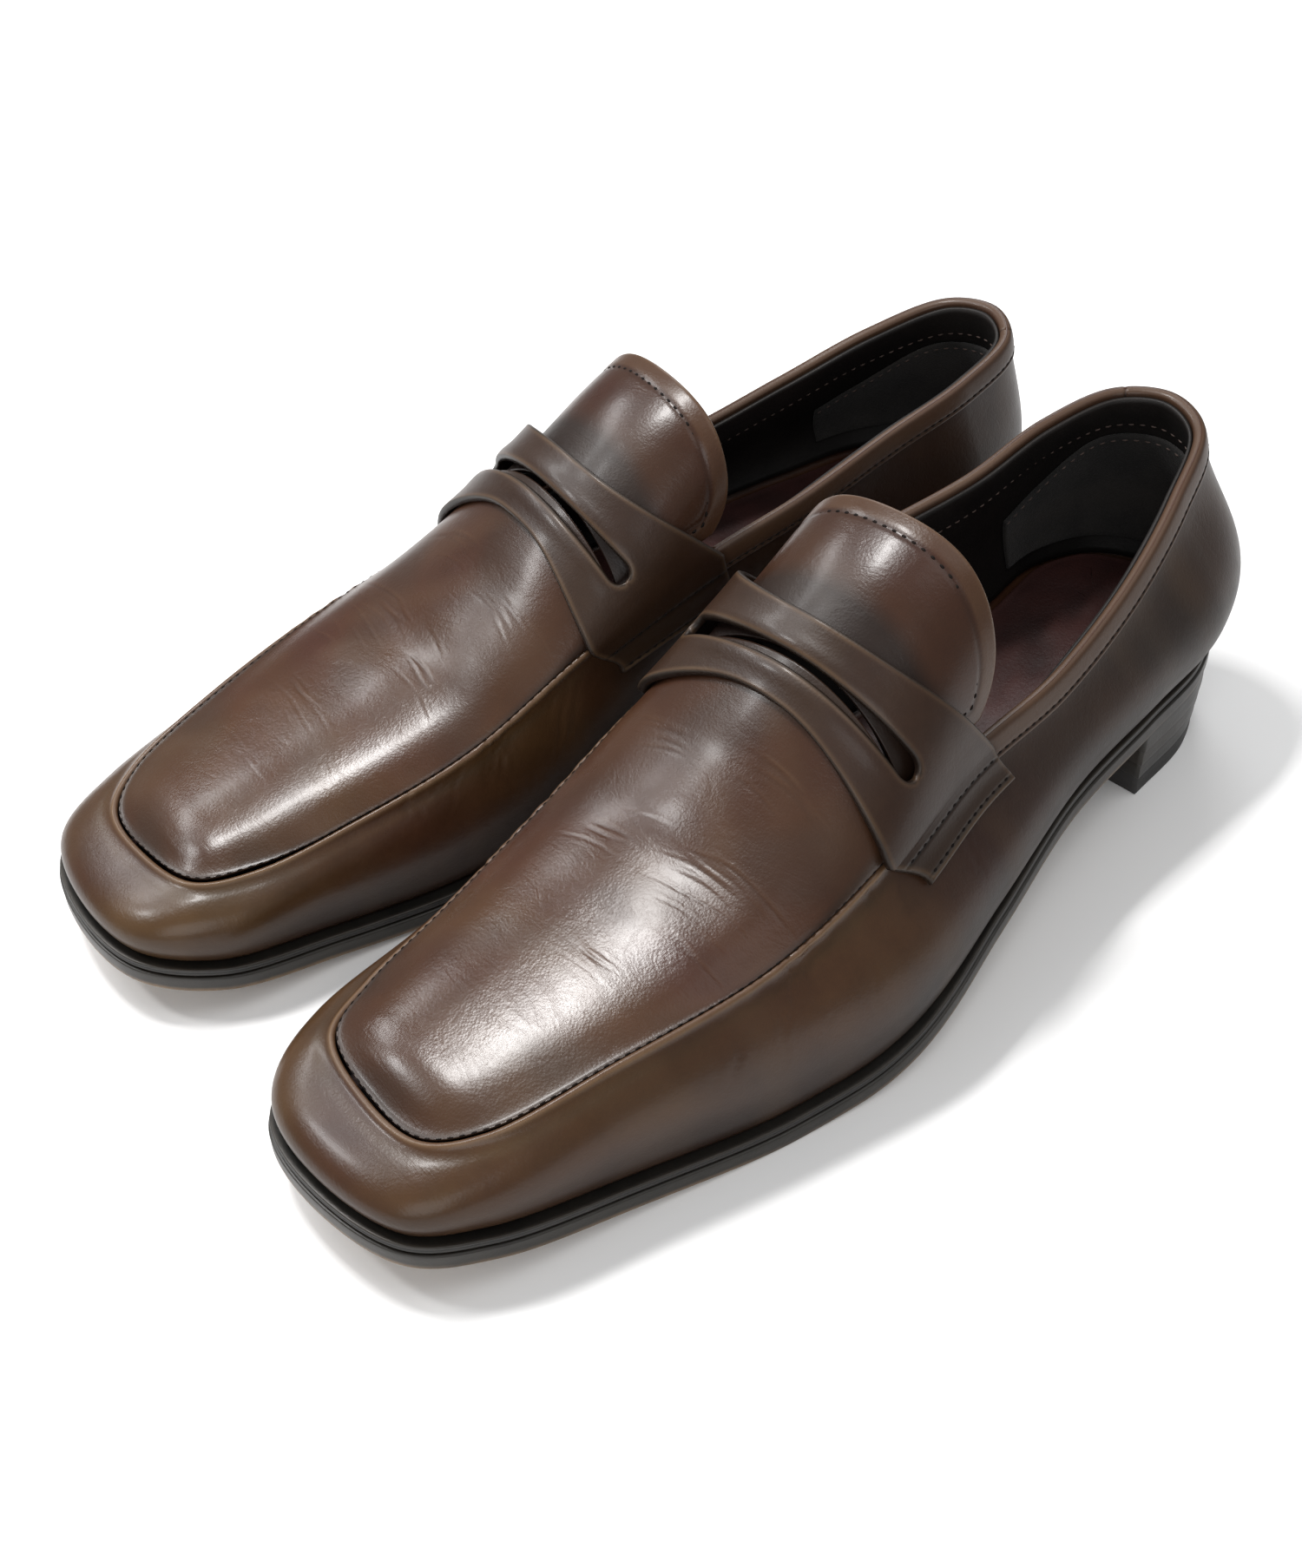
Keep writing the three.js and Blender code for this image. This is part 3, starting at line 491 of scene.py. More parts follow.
CORK = plain("cork", (0.42, 0.25, 0.12), (0.26, 0.14, 0.06), 220, 0.9, 600, 0.6)
STIFF = plain("stiffener_cloth", (0.62, 0.55, 0.42), (0.5, 0.43, 0.32), 160, 0.85, 900, 0.4)
BOARD = plain("insole_board", (0.42, 0.29, 0.17), (0.34, 0.22, 0.12), 90, 0.8, 600, 0.3)
STEEL = plain("shank_steel", (0.42, 0.43, 0.45), (0.3, 0.31, 0.33), 120, 0.35, 900, 0.1, Metallic=1.0)


# ---------- slabs: sole, welt, heel, insole ----------
WELT_INSET = 0.6


def half_loops(inset, count):
    """Outer and inner half of the sole outline, from the heel back to the toe."""
    w = np.linspace(0, 1, count)
    out = []
    for u in (w * STATIONS / 2, STATIONS - w * STATIONS / 2):
        d = inset(u) if callable(inset) else inset
        out.append(sole(u) - outward(sole, u) * np.asarray(d)[..., None] * np.ones((count, 1)))
    return out


def slab_mesh(rings, count, cross):
    """Closed slab. rings is a list of (inset, height(y), colour) from the middle of the top to that of the bottom."""
    ladders = [(*half_loops(inset, count), height, tint) for inset, height, tint in rings]
    n = len(rings)
    cols, paint = [], []
    # One row across per outline point: out over the top, round the edge and back under the bottom.
    for k in range(count):
        row, tone = [], []
        for side in (0, 1):
            order = range(n) if side == 0 else range(n - 1, -1, -1)
            for r in order:
                p = ladders[r][side][k].copy()
                p[2] = ladders[r][2](p[1])
                row.append(p)
                tone.append(ladders[r][3])
            near, far, h, t = ladders[n - 1] if side == 0 else (ladders[0][1], ladders[0][0], *ladders[0][2:])
            for w in np.linspace(0, 1, cross + 2)[1:-1]:
                q = near[k] + (far[k] - near[k]) * w
                q[2] = h(q[1])
                row.append(q)
                tone.append(t)
        cols.append(row)
        paint.append(tone)
    verts = np.array(cols)
    faces = grid_faces(*verts.shape[:2], loop_cols=True)
    return verts.reshape(-1, 3), faces, np.array(paint).reshape(-1, 3)


def over(h):
    return lambda y: sole_z(y) + h


def edge_rings(inset, low, high, tint_top, tint_edge, tint_low, soft):
    """Rings of a plate with softened edges."""
    steps = [(14, 0.0), (6, 0.0), (2.4, 0.0), (0.9, 0.02), (0.3, 0.18), (0.06, 0.55), (0, 1.0)]
    rings = []
    add = (lambda d: (lambda u, d=d: inset(u) + d)) if callable(inset) else (lambda d: inset + d)
    for d, f in steps:
        rings.append((add(d), (lambda y, f=f: high(y) - soft * f), tint_top if d > 1 else tint_edge))
    for f in (0.3, 0.5, 0.7):
        rings.append((add(0.02), (lambda y, f=f: high(y) - soft + (low(y) - high(y) + 2 * soft) * f), tint_edge))
    for d, f in steps[::-1]:
        rings.append((add(d), (lambda y, f=f: low(y) + soft * f), tint_low if d > 0.02 else tint_edge))
    return rings


def add_bottom():
    black, bare = (0.0, 0.0, 0.0), (0.9, 0, 0)
    v, f, p = slab_mesh(edge_rings(0.0, over(0), over(OUTSOLE_T), black, (0.04, 0, 0), bare, 0.5), 260, 18)
    # The waxed black edge is worn back to bare leather along its lowest line at the forefoot.
    h = v[:, 2] - sole_z(v[:, 1])
    low = smooth(0.95, 0.35, h + 0.25 * ripple(v[:, 0], v[:, 1], 9, 3))
    p[:, 0] = np.maximum(low * (0.75 + 0.2 * ripple(v[:, 0], v[:, 1], 14, 4)), 0.03)
    piece("outsole", v, f, SOLE, ("outsole",), slot="sole", paint=p, weld=0.002)
    v, f, p = welt_ring()
    piece("welt", v, f, SOLE, ("welt",), slot="sole", paint=p, weld=0.002)


def welt_ring():
    """Welt: a narrow ring between the outsole and the turned-in leather."""
    u = np.linspace(0, STATIONS, 661)[:-1]
    n, rim = outward(sole, u), sole(u)
    low, high = OUTSOLE_T + GAP, OUTSOLE_T + GAP + WELT_T
    hidden = around(FEATHER_INSET, u) + 9
    profile = [(0.35, low), (0.08, low + 0.12), (0, low + 0.45), (0, low + 0.9), (0.14, low + 1.05),
               (0.02, low + 1.2), (0.0, high - 0.4), (0.1, high - 0.12), (0.4, high), (1.2, high + 0.02),
               (2.2, high - 0.05), (4, high), (hidden, high), (hidden, low)]
    rows = []
    for d, z in profile:
        q = rim - n * np.reshape(WELT_INSET + d, (-1, 1))
        q[:, 2] = sole_z(q[:, 1]) + z
        rows.append(q)
    v = np.stack(rows, 1)
    tone = np.zeros(v.shape)
    tone[:, 7:9, 0] = 0.06
    tone[:, 4, 1] = 0.8
    return v.reshape(-1, 3), grid_faces(len(u), v.shape[1], loop_rows=True, loop_cols=True), tone.reshape(-1, 3)


def add_heel():
    flat = lambda z: (lambda y: z + 0 * y)
    tops = [TOP_LIFT_T + k * (LIFT_T + GAP) for k in range(3)]
    layers = [("top_lift", 1.6, flat(0.0), flat(tops[0]), RUBBER, "rubber"),
              ("heel_lift_1", 1.2, flat(tops[0] + 0.1), flat(tops[1]), SOLE, "sole"),
              ("heel_lift_2", 0.8, flat(tops[1] + 0.1), flat(tops[2]), SOLE, "sole"),
              ("heel_base", 0.4, flat(tops[2] + 0.1), lambda y: sole_z(y) - 0.12, SOLE, "sole")]
    for name, inset, low, high, material, slot in layers:
        v, f, p = heel_block(inset, low, high)
        p[:, 0] = 0.03 + 0.03 * ripple(v[:, 0], v[:, 2] * 3, 12, 5)
        piece(name, v, f, material, (name,), slot=slot, paint=p, weld=0.002)


def heel_block(inset, low, high):
    """One heel layer: the back of the sole outline, closed by a slightly hollow breast."""
    rings = edge_rings(0.0, low, high, (0, 0, 0), (0, 0, 0), (0, 0, 0), 0.3)
    u = np.linspace(-3.6, 3.6, 181)
    arc = sole(u) - outward(sole, u) * inset
    y_breast = BREAST_Y + inset
    arc = arc[arc[:, 1] > y_breast]
    ends = arc[0], arc[-1]
    w = np.linspace(0, 1, 40)[1:-1]
    line = np.stack([ends[1][0] + (ends[0][0] - ends[1][0]) * w, np.full_like(w, y_breast), 0 * w], -1)
    a, b = ends[1].copy(), ends[0].copy()
    a[1] = b[1] = y_breast
    loop = np.vstack([arc, [a], line, [b]])
    centre = np.array([loop[:, 0].mean(), 118.0, 0])
    verts = []
    for d, h, _ in rings:
        q = loop - unit(loop - centre) * min(d, 12)
        if d >= 14:
            q = centre + (loop - centre) * 0.35
        q[:, 2] = h(q[:, 1])
        verts.append(q)
    v = np.array(verts)
    rows, cols = v.shape[:2]
    faces = grid_faces(rows, cols, loop_cols=True).tolist()
    faces.append(list(range(cols))[::-1])
    faces.append([(rows - 1) * cols + i for i in range(cols)])
    v = v.reshape(-1, 3)
    return v, faces, np.zeros(v.shape)


def add_boards():
    low = SEAT_Z + LEATHER_T + 2 * GAP
    sock_low = low + INSOLE_T + GAP
    inset = lambda u: around(FEATHER_INSET, u) + 6.4
    dip = lambda y: sole_z(y) + sock_low + SOCK_T
    v, f, p = slab_mesh(edge_rings(inset, over(sock_low), dip, (0, 0, 0), (0.2, 0, 0), (0, 0, 0), 0.3), 220, 60)
    upper = v[:, 2] > sole_z(v[:, 1]) + sock_low + SOCK_T * 0.6
    wave = 0.22 * ripple(v[:, 0], v[:, 1], 7, 21) + 0.14 * ripple(v[:, 0] * 1.5, v[:, 1], 3.2, 22)
    v[:, 2] += np.where(upper, np.clip(wave, -0.3, 0.35), 0)
    # The dark channel is painted shade in the hollows of the wrinkles: darker where the wave dips.
    p[:, 1] = np.where(upper, np.clip(0.25 - wave, 0, 0.6), 0.3)
    piece("sock_liner", v, f, SOCK, ("sock_liner",), slot="sock", paint=p, weld=0.002)


# ---------- layers of the wall ----------
def sheet(name, outer, inner, faces, material, tone=None, inner_tone=None, **more):
    """A sheet of leather between two matching faces. The inner one has the same paint unless given."""
    v, f = shell(outer, inner, faces)
    tone = np.zeros(outer.shape) if tone is None else tone
    inner_tone = tone if inner_tone is None else inner_tone
    piece(name, v, f, material, (name,), paint=np.vstack([tone.reshape(-1, 3), inner_tone.reshape(-1, 3)]), **more)


UNDER = LEATHER_T + GAP
UNDER_STIFF = UNDER + STIFFENER_T + GAP


def away(u, centre):
    return np.abs((np.asarray(u, float) - centre + STATIONS * 1.5) % STATIONS - STATIONS / 2)


def stiffened(u):
    return np.maximum(1 - smooth(3.65, 4.5, away(u, 11.5)), 1 - smooth(3.65, 4.5, away(u, 0)))


def lining_depth(u):
    return UNDER + (UNDER_STIFF - UNDER) * stiffened(u)


def wall_arc(u):
    """For each station, t against distance down the wall from its top edge."""
    t = np.linspace(1, 0.45, 90)
    p = wall(u[:, None], t[None, :])
    d = np.concatenate([np.zeros((len(u), 1)), np.cumsum(np.linalg.norm(np.diff(p, axis=1), axis=-1), 1)], 1)
    return t, d


def t_down(u, d):
    """t at which station u lies d millimetres below the top edge."""
    t, arc = wall_arc(u)
    return np.array([np.interp(d, a, t) for a in arc])


def foot_t(u, above):
    """t at which the wall clears the insole by a given height."""
    t = np.linspace(0, 0.6, 240)
    p = wall(u[:, None], t[None, :])
    h = p[..., 2] - sole_z(p[..., 1])
    return np.array([np.interp(SEAT_Z + LEATHER_T + GAP + above, hh, t) for hh in h])


def wall_layer(name, u, t0, t1, rows, depth, thick, material, slot, paint=None, relief=None):
    w = np.linspace(0, 1, rows)
    t = t0[:, None] + (t1 - t0)[:, None] * w[None, :]
    uu = np.broadcast_to(u[:, None], t.shape)
    p, n = wall(uu, t), wall_normal(uu, t)
    d0 = np.broadcast_to(np.asarray(depth(uu) if callable(depth) else depth, float), t.shape)
    bumps = 0 if relief is None else relief(uu, t, p)
    outer = p - n * d0[..., None]
    inner = p - n * (d0 + thick - bumps)[..., None]
    tone = None if paint is None else paint(uu, t, p)
    sheet(name, outer, inner, grid_faces(*t.shape), material, tone, slot=slot)


def add_linings():
    u = np.linspace(-5, 5.5, 260)
    top_t = t_down(u, 0.6)
    pucker = lambda uu, t, p: 0.12 * ripple(p[..., 1] + p[..., 0], p[..., 2] * 2, 6, 31)
    # Lighter towards the top edge of the quarter lining.
    lighter_towards_top = lambda uu, t, p: np.stack([0.25 * smooth(0.9, 1.0, t), 0 * t, 0 * t], -1)
    wall_layer("quarter_lining", u, foot_t(u, 0.4), top_t, 40, lining_depth, LINING_T, LINING, "lining", lighter_towards_top, pucker)
    u = np.linspace(6, 16.5, 200)
    wall_layer("vamp_lining", u, foot_t(u, 0.4), np.full(len(u), 0.955), 26, lining_depth, LINING_T, LINING, "lining")
    u = np.linspace(8, 15, 120)
    wall_layer("toe_puff", u, foot_t(u, 0.4), np.full(len(u), 0.9), 20, UNDER, STIFFENER_T, STIFF, "stiffener")
    u = np.linspace(-3.5, 3.5, 120)
    wall_layer("heel_counter", u, foot_t(u, 0.4), np.full(len(u), 0.8), 20, UNDER, STIFFENER_T, STIFF, "stiffener")
    u = np.linspace(-2.5, 2.5, 140)
    arch = 0.8 - 0.08 * (np.abs(u) / 2.5) ** 3 - 0.22 * smooth(1.1, 2.5, np.abs(u)) ** 1.3
    depth = lambda uu: lining_depth(uu) + LINING_T + 0.12
    rub = lambda uu, t, p: np.stack([0.35 * np.clip(ripple(p[..., 0], p[..., 2], 6, 33), 0, 1), 0 * t, 0 * t], -1)
    wall_layer("heel_grip", u, foot_t(u, 6), arch, 40, depth, 0.75, SUEDE, "suede", rub)
    line = wall(u, arch - 0.035) - wall_normal(u, arch - 0.035) * (depth(u) + 0.75)[:, None]
    stitch_line("grip_stitches", line, -wall_normal(u, arch - 0.035), 3.0, 0.24, THREAD_LIGHT, 2.0, slot="lining")
    u = np.linspace(-4.4, 4.6, 300)
    t = t_down(u, 9.5)
    line = wall(u, t) - wall_normal(u, t) * (lining_depth(u) + LINING_T - 0.02)[:, None]
    stitch_line("lining_stitches", line, -wall_normal(u, t), 3.0, 0.22, THREAD_LIGHT, 2.0, slot="lining")


# ---------- stitches ----------
STITCH_RINGS, STITCH_SINK = np.linspace(-0.5, 0.5, 6), 1.05


def stitch_line(name, line, normals, pitch, radius, material, length, body="shoe", slot="calf"):
    """A row of separate stitches along a line, each a short arched thread that dives into the leather."""
    step = np.linalg.norm(np.diff(line, axis=0), axis=1)
    s = np.concatenate([[0], np.cumsum(step)])
    count = max(int(s[-1] / pitch), 1)
    at = (np.arange(count) + 0.5) * s[-1] / count
    sample = lambda q, a: np.stack([np.interp(q, s, a[:, k]) for k in range(3)], -1)
    verts, faces = [], []
    for c in at:
        q = c + STITCH_RINGS * length
        core, n = sample(q, line), unit(sample(q, normals))
        tang = unit(np.gradient(core, axis=0))
        across = unit(np.cross(tang, n))
        bow = np.cos(STITCH_RINGS * math.pi)[:, None]
        core = core + n * (radius * (1.35 * bow - STITCH_SINK))
        r = radius * (0.55 + 0.45 * bow)
        a = np.linspace(0, 2 * math.pi, 7)[:-1, None]
        ring = core[:, None] + r[:, None] * (np.cos(a) * n[:, None] + np.sin(a) * across[:, None] * 1.15)
        base = sum(len(x) for x in verts)
        verts.append(ring.reshape(-1, 3))
        faces += grid_faces(6, 6, loop_cols=True, start=base).tolist()
        faces += [[base + k for k in range(6)][::-1], [base + 30 + k for k in range(6)]]
    v = np.vstack(verts)
    piece(name, v, faces, material, body=body, slot=slot, paint=np.zeros((len(v), 3)))


# ---------- the wall ----------
def seam_weight(y):
    """1 where the wall's edge stands up as the moccasin seam, 0 where the strap covers it and behind."""
    return smooth(-14.5, -21, y)


def wall_crease(t, p):
    """Folds of the wall beside the ball of the foot."""
    z = np.zeros(p.shape[:2])
    rng = np.random.default_rng(7)
    for centre, count in ((-24, 6), (-47, 9), (-68, 4), (16, 3)):
        for sign in (1, -1):
            for _ in range(count):
                y0, tilt = centre + rng.normal(0, 5), rng.normal(0.25, 0.25)
                t0, reach = rng.uniform(0.55, 1.0), rng.uniform(0.12, 0.3)
                depth, width = rng.uniform(0.08, 0.22), rng.uniform(0.35, 0.8)
                d = (p[..., 1] - y0 + tilt * (1 - t) * 30 + 0.6 * np.sin(20 * t + y0)) / width
                right_side = (p[..., 0] > 0) if sign > 0 else (p[..., 0] < 0)
                z -= right_side * depth * np.exp(-((t - t0) / reach) ** 4) * (
                    np.exp(-d * d) - 0.4 * bell(d, 2.2, 1.4))
    roll = 0.5 * np.exp(-((p[..., 1] + 44 + 12 * (1 - t)) / 6) ** 2) + 0.35 * bell(p[..., 1], -22, 6)
    return z - roll * smooth(0.45, 0.85, t) * smooth(1.02, 0.93, t)


def add_wall():
    u = np.linspace(0, STATIONS, 793)[:-1]
    t = np.concatenate([np.linspace(0.03, 0.7, 40), np.linspace(0.7, 0.93, 26)[1:], np.linspace(0.93, 1, 14)[1:]])
    uu, tt = np.meshgrid(u, t, indexing="ij")
    p, n = wall(uu, tt), wall_normal(uu, tt)
    arc = np.concatenate([np.cumsum(np.linalg.norm(np.diff(p, axis=1), axis=-1)[:, ::-1], 1)[:, ::-1],
                          np.zeros((len(u), 1))], 1)
    w = seam_weight(p[:, -1, 1])[:, None]
    flat = smooth(0.03, 0.12, tt)
    swell = 0.10 * ripple(p[..., 0] + 0.4 * p[..., 2], p[..., 1], 24, 12) * flat * smooth(1.0, 0.8, tt)
    swell *= 0.35 + 0.65 * smooth(-110, -80, p[..., 1])
    bump = w * (0.42 * bell(arc, 0, 1.0) - 0.12 * bell(arc, 3.0, 1.5))
    wave = 0.18 * w * bell(arc, 0, 2.2) * np.sin(p[..., 1] * 0.9) * bell(p[..., 1], -48, 14)
    outer = p + n * (bump + wave + swell + wall_crease(tt, p))[..., None]
    m = outward(sole, u)
    foot = wall(u, 0.0)
    margin = []
    for d in (MARGIN, 8, 4, 1.6, 0.5):
        q = foot - m * d
        q[:, 2] = sole_z(q[:, 1]) + SEAT_Z
        margin.append(q)
    margin = np.stack(margin, 1)
    up = unit(wall(u, 1.0) - wall(u, 0.985))
    nt = n[:, -1]
    crest = outer[:, -1]
    r = LEATHER_T / 2
    cap = []
    for phi in np.radians([20, 45, 70, 90, 110, 135, 160]):
        stretch = 1 + 0.15 * w
        cap.append(crest - nt * (r * (1 - math.cos(phi))) * (1 + 0.25 * w) + up * (r * math.sin(phi)) * stretch)
    cap = np.stack(cap, 1)
    inner = (p - n * LEATHER_T)[:, ::-1]
    turned = margin[:, ::-1] + np.array([0, 0, LEATHER_T])
    loop = np.concatenate([margin, outer, cap, inner, turned[:, 1:]], 1)
    v = loop.reshape(-1, 3)
    f = grid_faces(len(u), loop.shape[1], loop_rows=True, loop_cols=True)
    tone = np.zeros(loop.shape)
    a = len(margin[0])
    b = a + len(t)
    y = p[..., 1]
    groove = w * bell(arc, 3.6, 1.6)
    toe = smooth(-95, -135, y)
    low = smooth(0.44, 0.08, tt)
    blotch = 0.5 + 0.5 * ripple(p[..., 0], y + p[..., 2], 15, 41)
    tone[:, a:b, 0] = (0.85 * w * bell(arc, 0, 0.7) * (0.6 + 0.4 * blotch)
                       + 0.05 * toe * blotch * smooth(0.9, 0.3, tt)
                       + 0.10 * np.clip(ripple(p[..., 0], y, 5, 42), 0, 1))
    behind = 0.78 * smooth(-45, 30, y) - 0.12 * smooth(70, 130, y)
    patches = np.clip(ripple(p[..., 0] + y, p[..., 2] * 2, 13, 43), 0, 1) * smooth(0.12, 0.4, tt)
    tone[:, a:b, 1] = np.clip(0.30 * groove * blotch + 0.85 * low * (0.7 + 0.3 * blotch) * (1 - 0.35 * toe)
                              + 0.3 * patches + behind * (0.75 + 0.25 * blotch), 0, 0.88)
    tone[:, a:b, 2] = (0.85 * toe * blotch + 0.42 * blotch * smooth(40, -60, y) * smooth(0.1, 0.5, tt)
                       + 0.25 * groove + 0.18 * blotch)
    # Seam crest: worn lighter on top; the inner side of the roll, in the gap to the apron, is painted shade.
    tone[:, b:b + cap.shape[1], 0] = (0.45 * w * np.array([1, 0.9, 0.7, 0.4, 0.15, 0, 0])[None, :])
    tone[:, b:b + cap.shape[1], 1] = (w * np.array([0, 0, 0.1, 0.3, 0.6, 0.9, 1.0])[None, :])
    piece("upper_wall", v, f, CALF, ("upper_wall",), paint=tone.reshape(-1, 3))


# ---------- the apron ----------
def seam_inset(reach, u):
    foot = edge(u)
    sign = np.where(u < STATIONS / 2, 1.0, -1.0)
    lo, hi = np.full_like(u, 0.3), np.ones_like(u)
    for _ in range(20):
        mid = (lo + hi) / 2
        far = np.linalg.norm(top(foot[:, 1], sign * mid) - foot, axis=-1) > reach
        lo, hi = np.where(far, mid, lo), np.where(far, hi, mid)
    plan = np.minimum(reach, np.abs(top(foot[:, 1], sign * hi)[:, 0] - foot[:, 0]))
    return reach + (plan - reach) * smooth(-118, -95, foot[:, 1])


def apron_patch(first_y, reach, rows, cross, rings):
    """Plan grid of the apron: rows run across, and bunch up into the square toe."""
    halves = []
    tip = _u[_front]
    for sign in (1, -1):
        us = np.linspace(4.5, tip, 2000) if sign > 0 else np.linspace(17.6, tip, 2000)
        e = edge(us)
        start = int(np.argmin(np.abs(e[:, 1] - first_y)))
        us = us[start:]
        s = np.concatenate([[0], np.cumsum(np.linalg.norm(np.diff(edge(us), axis=0), axis=1))])
        pick = np.interp(np.linspace(0, s[-1], rows), s, us)
        halves.append(pick)
    out = []
    for pick in halves:
        base = seam_inset(reach, pick)
        share = base / reach
        n = outward(edge, pick)
        n[-1] = (0, -1, 0)
        e = edge(pick)
        out.append([e - n * (base + share * d)[:, None] for d in rings])
    left, right = out
    w = np.linspace(0, 1, cross + 2)[1:-1]
    middle = [left[-1] + (right[-1] - left[-1]) * k for k in w]
    return np.stack(left + middle + right[::-1], 1)


def tip_faces(rows, width, rings):
    """Grid faces of a patch whose last row is folded onto itself at the toe."""
    col = np.arange(width)
    name = np.arange(rows * width)
    name[-width:] = (rows - 1) * width + np.minimum(np.minimum(col, width - 1 - col), rings - 1)
    faces = [list(dict.fromkeys(f)) for f in name[grid_faces(rows, width)].tolist()]
    return [f for f in faces if len(f) > 2]


APRON_RINGS = [0, 0.15, 0.35, 0.65, 1.05, 1.6, 2.3, 3.2, 4.4]
APRON_INSET, PLUG_INSET = 1.25, 4.6


def add_apron():
    q = apron_patch(-8.0, APRON_INSET, 330, 120, APRON_RINGS)
    x, y = q[..., 0], q[..., 1]
    side = side_of_x(y, x)
    p, n = top(y, side), top_normal(y, side)
    flat = q * np.array([1, 1, 0])
    d = border_distance(flat, np.concatenate([flat[:, 0], flat[:, -1]]))
    rise = -0.2 * bell(d, 0, 1.0) - rounded(d, 0.6) * 0.4
    # The edge is drawn down to the seam without a step.
    rise -= 0.95 * (1 - np.exp(-d / 0.8)) * bell(d, 0, 7) * (1 - 0.5 * smooth(-45, -18, y))
    swell = 0.2 * ripple(x, y, 19, 51) * smooth(0, 8, d)
    swell += 1.3 * np.cos(side * math.pi / 2) * smooth(-45, -75, y) * smooth(-133, -118, y)
    fine = creases(x, y)
    wrinkled = (fine + 0.6 * flex(x, y)) * smooth(-12, -20, y) * smooth(0.3, 4, d)
    p = p + n * (rise + swell + wrinkled)[..., None]
    inner = p - n * (LEATHER_T * 0.9)
    blotch = 0.5 + 0.5 * ripple(x, y, 14, 52)
    tone = np.zeros(p.shape)
    tone[..., 0] = 0.10 * blotch + 0.55 * np.clip(fine, 0, 0.2) * 3 + 0.08 * np.clip(ripple(x, y, 4, 53), 0, 1)
    # Dark channel: the line along the seam edge and the crease troughs are painted shade, and the band from y -17.5
    # back is painted shadow under the strap's front edge; the rest darkens towards the toe edge and the instep, with
    # mottling.
    tone[..., 1] = np.clip(0.75 * bell(d, 0, 0.9) + 0.5 * bell(d, 0, 8) * smooth(-70, -110, y)
                           + np.clip(-fine, 0, 0.3) * 1.5 + 0.38 * smooth(-90, -12, y) + 1.2 * smooth(-17.5, -13, y)
                           + 0.3 * np.clip(ripple(x, y, 10, 55), 0, 1), 0, 1) * (0.75 + 0.25 * blotch)
    tone[..., 2] = 0.6 * (0.5 + 0.5 * ripple(x, y, 9, 54)) * smooth(-30, -70, y) + 0.2 * blotch
    sheet("apron", p, inner, tip_faces(*q.shape[:2], len(APRON_RINGS)), CALF_TOP, tone, weld=0.003)
    rim = np.concatenate([p[:, 1], p[::-1, -2]], 0)
    rn = np.concatenate([n[:, 1], n[::-1, -2]], 0)
    keep = rim[:, 1] < -17.5
    stitch_line("seam_stitches", rim[keep], rn[keep], 2.6, 0.17, THREAD, 1.7)
    q = apron_patch(-27.0, PLUG_INSET, 120, 40, [0, 0.5, 1.5])
    side = side_of_x(q[..., 1], q[..., 0])
    p, n = top(q[..., 1], side), top_normal(q[..., 1], side)
    sheet("plug_lining", p - n * (UNDER + 0.45), p - n * (UNDER + LINING_T), tip_faces(*q.shape[:2], 3), LINING,
          slot="lining", weld=0.003)


# ---------- tongue ----------
TONGUE_STITCH_INSET = 5.7


def border_distance(points, border):
    """Distance of each point to the nearest border point."""
    flat = points.reshape(-1, 3)
    out = np.full(len(flat), 1e9)
    for i in range(0, len(border), 64):
        d = np.linalg.norm(flat[:, None] - border[None, i:i + 64], axis=-1).min(1)
        out = np.minimum(out, d)
    return out.reshape(points.shape[:-1])


def tongue_sheet(rows, cols, edge_side, end_share, depth):
    side = np.linspace(edge_side, -edge_side, cols)
    side = edge_side * np.sin(side / edge_side * math.pi / 2) * 0.35 + side * 0.65
    w = np.linspace(0, end_share, rows)
    ww, ss = np.meshgrid(w, side, indexing="ij")
    end = 29.5 + 2 * ss**2 - 15 * np.abs(ss) ** 9
    y = ww * end + (1 - ww) * -6.5
    n = top_normal(y, ss)
    return top(y, ss) - n * depth, n, y, ss


